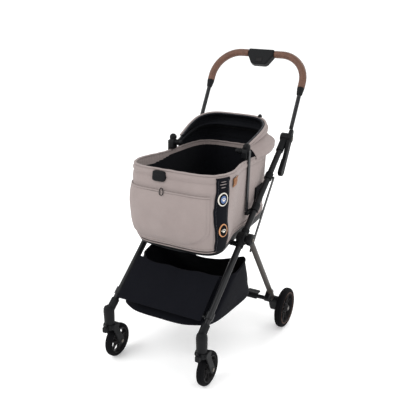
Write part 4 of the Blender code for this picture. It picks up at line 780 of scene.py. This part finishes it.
# a teardrop ring, wider at its foot, hung on the zip's cord and standing off the cloth
def buildZipPull():
    turn = np.arange(40) / 40 * tau
    wide = zipPull["halfWide"] + zipPull["footWider"] * (1 - np.sin(turn))
    ring = onCloth(zipPull["share"] + wide * np.cos(turn) / shell["around"],
                   zipPull["height"] + zipPull["halfHigh"] * np.sin(turn) / shell["tall"], zipPull["lift"])
    place(tube("zip_pull_ring", ring, zipPull["wire"], plastic, 12, closed=True), "carrier",
          "zip_pull")


strap = {"share": 0.8600, "half": 0.0182, "low": 0.030, "high": 0.985}
# badges: name, height, half width and half height in metres, lift off the cloth, colour
badges = (("badge_high_edge", 0.730, 0.0172, 0.0212, 0.0060, creamThread),
          ("badge_high_field", 0.730, 0.0140, 0.0178, 0.0068, blackCloth),
          ("badge_high_motif", 0.730, 0.0092, 0.0120, 0.0076, blueThread),
          ("badge_low_edge", 0.335, 0.0140, 0.0235, 0.0060, orangeThread),
          ("badge_low_field", 0.335, 0.0110, 0.0200, 0.0068, blackCloth),
          ("strap_bar_940", 0.940, 0.009, 0.0012, 0.0052, greigeThread),
          ("strap_bar_908", 0.908, 0.012, 0.0012, 0.0052, greigeThread),
          ("strap_bar_872", 0.872, 0.008, 0.0012, 0.0052, greigeThread))
paws = (("badge_high_paw", 0.730, 0.0085, 0.0084), ("badge_low_paw", 0.335, 0.0095, 0.0076))
# one pad and four toes: middle x and y, half width and half height, in shares of the paw's size
pads = ((0, -0.30, 0.42, 0.34), (-0.62, 0.12, 0.16, 0.22), (-0.24, 0.46, 0.16, 0.22), (0.24, 0.46, 0.16, 0.22),
        (0.62, 0.12, 0.16, 0.22))


# a flat domed oval sewn on the strap: rings that shrink to its middle, mapped to the wall
def oval(name, share, height, halfWide, halfHigh, lift, material):
    turn = np.arange(64) / 64 * tau
    radii = np.linspace(1.0, 0.0, 7)[:, None]
    s = share + radii * np.cos(turn)[None] * halfWide / shell["around"]
    h = height + radii * np.sin(turn)[None] * halfHigh / shell["tall"]
    grid = np.concatenate([onCloth(s[:1], h[:1], 0.001), onCloth(s, h, lift + 0.0006 * (1 - radii ** 2) + 0 * s)])
    return tidied(fixNormals(newObject(name, grid, gridFaces(8, 64, closed=True), material)), 50)


# a wavering band laid over the cloth, its two edges stitched, with plain badges and paw prints
def buildStrap():
    v, u = np.linspace(0, 1, 120)[:, None], np.linspace(-1, 1, 26)[None]
    heights = strap["low"] + (strap["high"] - strap["low"]) * v + 0 * u
    wave = 0.0016 * np.sin(tau * v * 1.3 + 0.6) + 0.0003 * np.sin(tau * v * 6.2 + 1)
    shares = strap["share"] + wave + u * (strap["half"] + 0.0011 * np.sin(tau * v * 1.6 + 2))
    belly = 0.0010 * (1 - u ** 2)
    lift = 0.0030 + clothLift(shares, heights) + belly
    outer = wall(shares, heights, lift)
    inner = wall(shares, heights, lift - 0.0030 - belly * 0.8)
    place(slab("badge_strap_band", outer, blackCloth, inner), "carrier", "badge_strap")
    for k, column in enumerate((3, -4)):
        stitches(f"strap_stitches_{k}", "carrier", outer[2:-2, column], (outer - inner)[2:-2, column], blackThread,
                 3.0, 2.0, 0.8)
    for name, height, halfWide, halfHigh, lift, material in badges:
        place(oval(name, strap["share"], height, halfWide, halfHigh, lift, material), "carrier")
    for name, height, size, lift in paws:
        toes = [oval("toe", strap["share"] + x * size / shell["around"], height + y * size / shell["tall"],
                     w * size, t * size, lift, creamThread) for x, y, w, t in pads]
        place(joined(name, toes), "carrier")


tag = {"share": 0.892, "wide": 0.0200, "low": 0.845, "high": 0.950, "lift": 0.0052, "thick": 0.0018}


# a small leather flag: a slanted rectangle, bowed outward by half a sine
def buildTag():
    v, u = np.linspace(0, 1, 14)[:, None], np.linspace(0, 1, 10)[None]
    shares = tag["share"] + tag["wide"] * u + 0.003 * (v - 0.5)
    heights = tag["low"] + (tag["high"] - tag["low"]) * v + 0.012 * (u - 0.5)
    grid = onCloth(shares, heights, tag["lift"] + 0.0016 * np.sin(math.pi * v) + 0 * u)
    place(slab("tan_side_tag", grid, tan, grid - gridNormals(grid) * tag["thick"]), "carrier",
          "leather_tag")


catch = {"share": 0.7285, "height": 0.936, "halfWide": 0.0195, "halfHigh": 0.0165,
         "section": [(1.0, 0.0005), (1.0, 0.0072), (0.96, 0.0090), (0.86, 0.0097), (0.5, 0.0101), (0.02, 0.0102)]}


# a moulded catch on the front edge: an oblong with round corners (a superellipse), crowned, over the rolled edge
def buildLatchTab():
    turn = np.arange(72) / 72 * tau
    corner = (np.abs(np.cos(turn)) ** 5 + np.abs(np.sin(turn)) ** 5) ** (-1 / 5)
    radii, lift = np.array(catch["section"]).T[..., None]
    grid = wall(catch["share"] + radii * corner * np.cos(turn) * catch["halfWide"] / shell["around"],
                catch["height"] + radii * corner * np.sin(turn) * catch["halfHigh"] / shell["tall"], lift)
    tab = tidied(fixNormals(newObject("moulded_latch_tab", grid, gridFaces(6, 72, closed=True), plastic)), 40)
    place(tab, "carrier", "latch_tab")


pad = {"half": 0.1335, "front": -0.258, "back": 0.198, "corner": 4.5, "crown": 0.033, "seamDeep": 0.0065,
       "seams": (-0.165, -0.032, 0.100), "fill": 0.7}


# the floor pad: an oblong crowned by a power of the distance from its edge, quilted by three cross seams
def buildCushion():
    columns = 300
    share, base, tiny = np.arange(columns) / columns, shell["floor"] + 0.0068, 0.004
    grid = []
    for k in np.linspace(0, 1, 46):
        x, y = ovalRow(share, (pad["half"] - tiny) * (1 - k) + tiny, pad["front"] * (1 - k) + shell["middle"] * k,
                       pad["back"] * (1 - k) - 0.030 * k, pad["corner"])
        crown = pad["crown"] * (1 - (1 - min(1, k * 5)) ** 2.4) ** 0.42
        seams = sum(bell(y, seam, 0.006) for seam in pad["seams"])
        puff = foldNoise(x * 8, y * 8, 3, 8, 1, 4) * 0.0009 * min(1, k * 6)
        grid.append(np.stack([x, y, base + crown - pad["seamDeep"] * seams * min(1, k * 8) + puff], -1))
    grid, middle = np.array(grid), np.array([0, shell["middle"], 0])
    under = grid[:1] * [1, 1, 0] + [0, 0, base]
    flat = np.concatenate([(under - middle) * [s, s, 1] + middle for s in (0.02, 0.5, 0.985)])
    grid = np.concatenate([flat, grid])
    faces = [list(quad) for quad in gridFaces(len(grid), columns, closed=True)]
    faces += [list(range(columns)), list(range((len(grid) - 1) * columns, len(grid) * columns))]
    made = tidied(fixNormals(newObject("quilted_floor_pad", grid, faces, lining, grid[..., :2])), 70)
    work = bmesh.new()
    work.from_mesh(made.data)
    bmesh.ops.recalc_face_normals(work, faces=work.faces)
    work.to_mesh(made.data)
    work.free()
    place(made, "carrier", "cushion")


bows = {"middle": {"half": 0.1328, "ribHalf": 0.1254, "depth": 0.228, "angle": math.radians(82)},
        "front": {"half": 0.1329, "ribHalf": 0.1329, "depth": 0.240, "angle": math.radians(73)}}
hoodLook = {"thick": 0.0022, "ribRadius": 0.0038, "pipingRadius": 0.0040, "ballX": 0.1485, "graspX": 0.1215,
            "eye": [(-0.0028, 0.0051), (-0.0028, 0.0099), (-0.0022, 0.0105), (0.0022, 0.0105), (0.0028, 0.0099),
                    (0.0028, 0.0051)],
            "ball": [(-0.0125, 0), (-0.0120, 0.0050), (-0.0090, 0.0100), (-0.0040, 0.0128), (0.0030, 0.0132),
                     (0.0090, 0.0105), (0.0122, 0.0055), (0.0128, 0)],
            "grasp": [(0, 0), (0, 0.0072), (0.0010, 0.0084), (0.0030, 0.0088), (0.0090, 0.0084), (0.0115, 0.0072),
                      (0.0125, 0.0045), (0.0128, 0)],
            "knob": [(0, 0), (0, 0.0066), (0.001, 0.0078), (0.005, 0.0080), (0.0095, 0.0064), (0.0120, 0.0034),
                     (0.0126, 0)]}


# a flattened arch over the hinge line: x falls and reach rises as powers of the cosine and sine of the share's turn
def arch(half, depth, angle, share, power=4.2, spread=0.020):
    turn = math.pi * np.asarray(share, float)
    c, s = np.cos(turn), np.abs(np.sin(turn))
    out = depth * s ** (2 / power)
    x = -half * np.sign(c) * np.abs(c) ** (2 / power)
    x = x * (1 + spread / half * np.clip((out / depth - 0.12) * 1.5, 0, 1))
    return np.stack([x, hood[1] + out * math.sin(angle), hood[2] + out * math.cos(angle)], -1)


def bowArch(name, share, bigger=0.0):
    return arch(bows[name]["half"] + bigger, bows[name]["depth"] + bigger, bows[name]["angle"], share)


def archShares(count):
    return 0.010 + 0.980 * (1 - np.cos(math.pi * np.linspace(0, 1, count))) / 2  # close together at both feet


def bowNormal(angle):
    return np.array([0, -math.cos(angle), math.sin(angle)])


# gathered pleats that run round the hood, pinched at their valleys and broken up so that they cross and fade
def hoodWave(share, row, seed, size):
    wander = 0.22 * foldNoise(share * 1.2, row * 0.3, seed, 6, 1, 4)
    pinch = lambda x: 2 * np.abs(np.sin(math.pi * x)) ** 0.75 - 1
    folds = pinch(2.3 * row + wander) * 0.6 + pinch(3.9 * row - 1.6 * wander + share * 1.3) * 0.4
    return size * (folds + 0.35 * foldNoise(share * 3, row * 0.6, seed + 1, 8, 2, 6))


def awayFromHinge(grid, weights):
    away = (grid - hood) * weights
    return away / (np.linalg.norm(away, axis=2, keepdims=True) + 1e-9)


def hoodSheet(name, grid, away, fullness, node=None):
    made = slab(name, grid, [greige, lining], grid - away * hoodLook["thick"], fullness)
    if node:
        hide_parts(node)
    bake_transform(made)


# from the carrier's rim, bulging out over it, up to the middle rib; rows crowd where the cloth stretches
def buildRearPanel(shares):
    row = np.concatenate([np.linspace(0, 0.70, 20, endpoint=False), np.linspace(0.70, 1, 40)])[:, None]
    low = arch(shell["half"] + 0.0016, shell["back"] + 0.022, math.pi / 2, shares, shell["corner"], 0.0)
    low[..., 2] = rimLevel(low[..., 1], shell["front"], shell["back"]) - 0.006
    grid = low * (1 - row[..., None]) + bowArch("middle", shares, 0.006) * row[..., None]
    away = awayFromHinge(grid, [0.55, 1, 0])
    back = smoothStep(grid[..., 1], 0.0, 0.12)
    bulge = 0.024 * np.sin(math.pi * np.clip(row * 0.92 + 0.06, 0, 1)) * back
    bulge = bulge + hoodWave(shares, row, 5, 0.0052) * back * np.sin(math.pi * row) ** 0.5
    grid = grid + away * bulge[..., None]
    wider = smoothStep(np.abs(grid[..., 0]), 0.10, 0.15) * back * np.sin(math.pi * row) ** 0.7
    grid[..., 0] = np.clip(grid[..., 0] + 0.016 * np.sign(grid[..., 0]) * wider, -0.186, 0.186)
    hoodSheet("hood_rear_panel", grid, away, 4,
              "canopy_cloth")


# from the middle rib, puffed out by half a sine, up over the front rib
def buildFrontPanel(shares):
    row = np.linspace(0, 1, 56)[:, None]
    grid = (bowArch("middle", shares, 0.0062) * (1 - row[..., None])
            + bowArch("front", shares, 0.0058) * row[..., None])
    away = awayFromHinge(grid, [0.5, 1, 0.25])
    reach = smoothStep(np.linalg.norm((grid - hood)[..., 1:], axis=2), 0.02, 0.12)
    puff = (0.012 + hoodWave(shares, row, 12, 0.0040)) * np.sin(math.pi * row) * reach
    grid = grid + away * puff[..., None]
    grid[..., 0] = np.clip(grid[..., 0], -0.182, 0.182)
    hoodSheet("hood_front_panel", grid, away, 8)


def buildHood():
    buildRearPanel(archShares(240)[None])
    buildFrontPanel(archShares(240)[None])
    # the front edge: a greige piping over the rib, a zip tape with teeth inside it
    shares, lift = archShares(200), bowNormal(bows["front"]["angle"])
    place(tube("hood_edge_piping", bowArch("front", shares, 0.0058) + lift * 0.0022, hoodLook["pipingRadius"],
               greige, 16), "canopy_front")
    place(tube("hood_edge_zip_tape", bowArch("front", shares, -0.0045) + lift * 0.0026, 0.0042, blackCloth, 14,
               high=0.0022), "canopy_front")
    stitches("hood_zip_teeth", "canopy_front", bowArch("front", shares, -0.0025) + lift * 0.0050, lift, blackThread,
             1.6, 1.2, 2.6)
    # each rib turns on an eye at either foot; the middle one runs inside the lining
    for name, material in (("front", paint), ("middle", lining)):
        bow = bows[name]
        path = arch(bow["ribHalf"], bow["depth"], bow["angle"], (1 - np.cos(math.pi * np.linspace(0, 1, 160))) / 2)
        rib = tube("rib", path, hoodLook["ribRadius"], material, 24)
        eyes = [turned("eye", hoodLook["eye"], at(hood, side * bow["ribHalf"]), (1, 0, 0), plastic, 48, closed=True)
                for side, _ in sides]
        place(joined("hood_rib_" + name, [rib] + eyes), "canopy_" + name, "canopy_bow_" + name)
    for side, mark in sides:
        top = at(hood, side * hoodLook["ballX"]) + [0, 0.004, 0.0165]
        place(turned(f"hood_pod_ball_{mark}", hoodLook["ball"], top, (side, 0, 0.35), plastic, 40), "carrier")
        place(turned(f"hood_pod_knob_{mark}", hoodLook["grasp"], at(hood, side * hoodLook["graspX"]), (-side, 0, 0),
                     plastic, 40), "carrier")
    top = arch(0.139, 0.246, bows["front"]["angle"], 0.62) + [0, 0, 0.003]
    place(turned("hood_top_knob", hoodLook["knob"], top, (0, 0.25, 1), plastic, 40), "canopy_front")


tub = {"frontDown": 0.628, "backTop": 0.350, "frontFloor": 0.206, "backFloor": 0.166, "narrow": 0.162,
       "wide": 0.1897, "dip": 0.050, "sag": 0.010, "middleY": -0.16, "flat": (0.86, 0.62), "area": 0.30}


# the cloth tub: each level is an oblong that widens behind the front legs; the floor drops to the back
def basketGrid(rows, columns):
    legTan, rearTan = math.tan(math.radians(frameLines["legLean"])), math.tan(math.radians(frameLines["rearLean"]))
    legY = lambda level: pivot[1] - (pivot[2] - level) * legTan
    frontTop = pivot[2] + legDown[2] * tub["frontDown"] - 0.010
    share = np.arange(columns) / columns
    grid = []
    for depth in np.linspace(0, 1, rows):
        front = legY(frontTop + (tub["frontFloor"] - frontTop) * depth) + 0.020
        backLevel = tub["backTop"] + (tub["backFloor"] - tub["backTop"]) * depth
        back = hub[1] + (hub[2] - backLevel) * rearTan - 0.010
        x, y = ovalRow(share, 1.0, front, back, 6.0 - 1.5 * depth)
        run = (y - front) / (back - front)
        top = frontTop + (tub["backTop"] - frontTop) * run ** 2
        dip = np.where(run > 0.9, tub["dip"] * (1 - np.clip(np.abs(x) / 0.92, 0, 1) ** 2), 0)
        top = top - dip * smoothStep(run, 0.88, 0.94)
        z = top + (tub["backFloor"] + 0.040 * (1 - run) - top) * depth
        half = tub["narrow"] + (tub["wide"] - tub["narrow"]) * smoothStep(y - legY(z) - 0.030, 0, 0.050)
        half = half - 0.006 * depth ** 2
        fade = math.sin(math.pi * min(1, depth * 0.9 + 0.05))
        slack = foldNoise(share * 2.2, depth * 0.5 + 0 * share, 31, 10, 1, 6) * 0.0026 * fade
        pinch = 0.004 * np.sin(tau * share * 11) * smoothStep(depth, 0.5, 0.0)
        swell = 1 + (slack + pinch * 0.4) / 0.17
        middle = (front + back) / 2
        y = middle + (y - middle) * np.minimum(swell, 1.012)
        grid.append(np.stack([x * half * np.minimum(swell, 1.0), y, z], -1))
    return np.array(grid)


# the tub with a sagging floor, a liner a little inside it and a bound hem
def buildBasket():
    rows, columns = 40, 300
    walls = basketGrid(rows, columns)
    share = np.linspace(0, 1, 17)[1:, None, None]
    floor = walls[-1] + (walls[-1].mean(0) - walls[-1]) * share
    floor[..., 2] -= tub["sag"] * np.sin(share[..., 0] * math.pi / 2)
    skin = np.concatenate([walls, floor])
    centre = np.array([0, tub["middleY"], 0])
    liner = centre + (skin - centre) * [0.988, 0.988, 1]
    liner[..., 2] += 0.0016 * np.concatenate([np.linspace(0, 1, rows), np.ones(16)])[:, None]
    uv = np.stack(np.broadcast_arrays(np.arange(columns)[None] / columns * 1.3,
                                      np.linspace(0, 0.4, len(skin))[:, None]), -1)
    made = doubleWall("storage_basket_cloth", skin, liner, blackCloth, uv)
    hem = tube("hem", walls[0] + [0, 0, 0.001], 0.0034, blackCloth, 12, high=0.0026, closed=True)
    made = joined("storage_basket_cloth", [made, hem])
    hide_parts("storage_basket")
    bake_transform(made)


panel = {"half": 0.1655, "from": 0.628, "to": 0.800, "proud": 0.0185, "thick": 0.0022, "slack": 0.010}


# the sloping front panel between the legs: a stretched cloth with a slack belly, hemmed all round
def buildPanel():
    rows, columns = 60, 120
    v, u = np.linspace(0, 1, rows)[:, None], np.linspace(-1, 1, columns)[None]
    slack = panel["slack"] * (1 - u ** 2) * (1 - v) + 0.003 * np.sin(tau * u * 1.4) * (1 - v) ** 3
    along = panel["from"] + (panel["to"] - panel["from"]) * v + slack
    wave = foldNoise(u * 0.5, v * 0.4, 8, 10, 1, 6) * 0.0012 * (1 - u ** 4)
    wave = wave - 0.004 * (1 - u ** 2) * np.sin(math.pi * v) * 0.4
    outer = (pivot + legDown * along[..., None]) * [0, 1, 1] + legFace * (panel["proud"] + wave)[..., None]
    outer[..., 0] = u * panel["half"] * (1 - 0.010 * np.sin(math.pi * v))
    made = slab("basket_front_panel", outer, blackCloth, outer - gridNormals(outer) * panel["thick"])
    place(made, "chassis", "basket_panel")
    for name, line in (("top", outer[4, 3:-3]), ("bottom", outer[rows - 5, 3:-3]), ("left", outer[3:-3, 4]),
                       ("right", outer[3:-3, -5])):
        stitches(f"panel_{name}_stitches", "chassis", line, legFace, blackThread, 3.4, 2.0, 0.8)


screw = {"radius": 0.0062, "pivotX": 0.2117, "hubX": 0.2220}


# domed screw heads with a round recess, on the two turning points of each side
def buildScrews():
    size = screw["radius"]
    profile = [(0, 0), (0, size), (0.0005, size + 0.0004), (0.0016, size * 0.92), (0.0020, size * 0.55),
               (0.0009, size * 0.5), (0.0009, 0)]
    for side, mark in sides:
        for name, centre, body in (("pivot", at(pivot, side * screw["pivotX"]), "handle"),
                                   ("hub", at(hub, side * screw["hubX"]), "rear_frame")):
            place(turned(f"{name}_screw_{mark}", profile, centre, (side, 0, 0), steel, 40), body)


buildTubes()
buildHandle()
print("stage: tubes and handle")
buildWheels()
print("stage: wheels")
buildCarrier()
buildCarrierTrim()
buildFrontPocket()
buildZipPull()
buildStrap()
buildTag()
buildLatchTab()
buildCushion()
print("stage: carrier")
buildHood()
print("stage: hood")
buildBasket()
buildPanel()
buildScrews()
print("stage: basket and small parts")

dress(pair("top_pivot", "hub_housing", "caster_housing", "seat_bracket", "axle_block", "caster_fork", "swivel_lock",
           "handle_sleeve", "link_collar", "canopy_hinge") + ["brake_pedal", "handle_bracket"], plastic, 0.0008)
dress(["fold_button"], rimPlastic, 0.0006)
dress(["rear_pocket"], blackCloth, 0.0012)
dress(pair("link_bar", "side_strut") + ["front_crossbar", "rear_crossbar"], paint, 0.0005)
dress(["base_frame"], paint, 0)
print("stage: carried-over nodes dressed")


studio = {"floorGrey": 0.94, "floorGlow": 0.20, "skyPower": 1.0, "aim": (0, 0, 0.5),
          "lamps": (("key", (-1.6, -2.4, 3.0), 2.2, 60), ("side", (3.0, -0.6, 1.8), 1.6, 26),
                    ("back", (0.5, 2.8, 2.4), 2.0, 30))}


# a white studio: a pale floor, an even white sky and three soft lamps, each with a place, a size and a power
def buildStage():
    grey = studio["floorGrey"]
    floorMaterial, _, _ = newMaterial("pale_floor", {"Base Color": (grey, grey, grey, 1), "Roughness": 0.9,
                                                     "Emission Color": (1, 1, 1, 1),
                                                     "Emission Strength": studio["floorGlow"]})
    bpy.ops.mesh.primitive_plane_add(size=160, location=(0, 0, -0.0004))
    floor = bpy.context.object
    floor.name = "studio_floor"
    floor.data.materials.append(floorMaterial)
    world = bpy.data.worlds.new("studio")
    bpy.context.scene.world = world
    world.use_nodes = True
    background = world.node_tree.nodes["Background"]
    background.inputs[0].default_value = (1, 1, 1, 1)
    background.inputs[1].default_value = studio["skyPower"]
    for name, spot, size, power in studio["lamps"]:
        light = bpy.data.lights.new(name, "AREA")
        light.energy = power
        light.size = size
        lamp = bpy.data.objects.new(name, light)
        lamp.location = spot
        lamp.rotation_euler = (Vector(studio["aim"]) - Vector(spot)).to_track_quat("-Z", "Y").to_euler()
        bpy.context.scene.collection.objects.link(lamp)


view = {"azimuth": 28.0, "elevation": 20.8, "roll": 0.25, "place": (1.010, -1.918, 1.304), "lensMm": 53.5673}


# the photo's viewpoint; angles are in degrees
def buildCamera():
    azimuth, elevation, roll = [math.radians(view[name]) for name in ("azimuth", "elevation", "roll")]
    back = Vector((math.sin(azimuth) * math.cos(elevation), -math.cos(azimuth) * math.cos(elevation),
                   math.sin(elevation)))
    right = Vector((math.cos(azimuth), math.sin(azimuth), 0))
    up = back.cross(right)
    right, up = right * math.cos(roll) + up * math.sin(roll), up * math.cos(roll) - right * math.sin(roll)
    data = bpy.data.cameras.new("camera")
    data.sensor_width = 36
    data.lens = view["lensMm"]
    camera = bpy.data.objects.new("camera", data)
    bpy.context.scene.collection.objects.link(camera)
    facing = Matrix((right, up, back)).transposed().to_4x4()
    camera.matrix_world = Matrix.Translation(Vector(rowShift) + Vector(view["place"])) @ facing
    bpy.context.scene.camera = camera


buildStage()
buildCamera()
bpy.context.scene.view_settings.view_transform = "Standard"

print("stage: done")
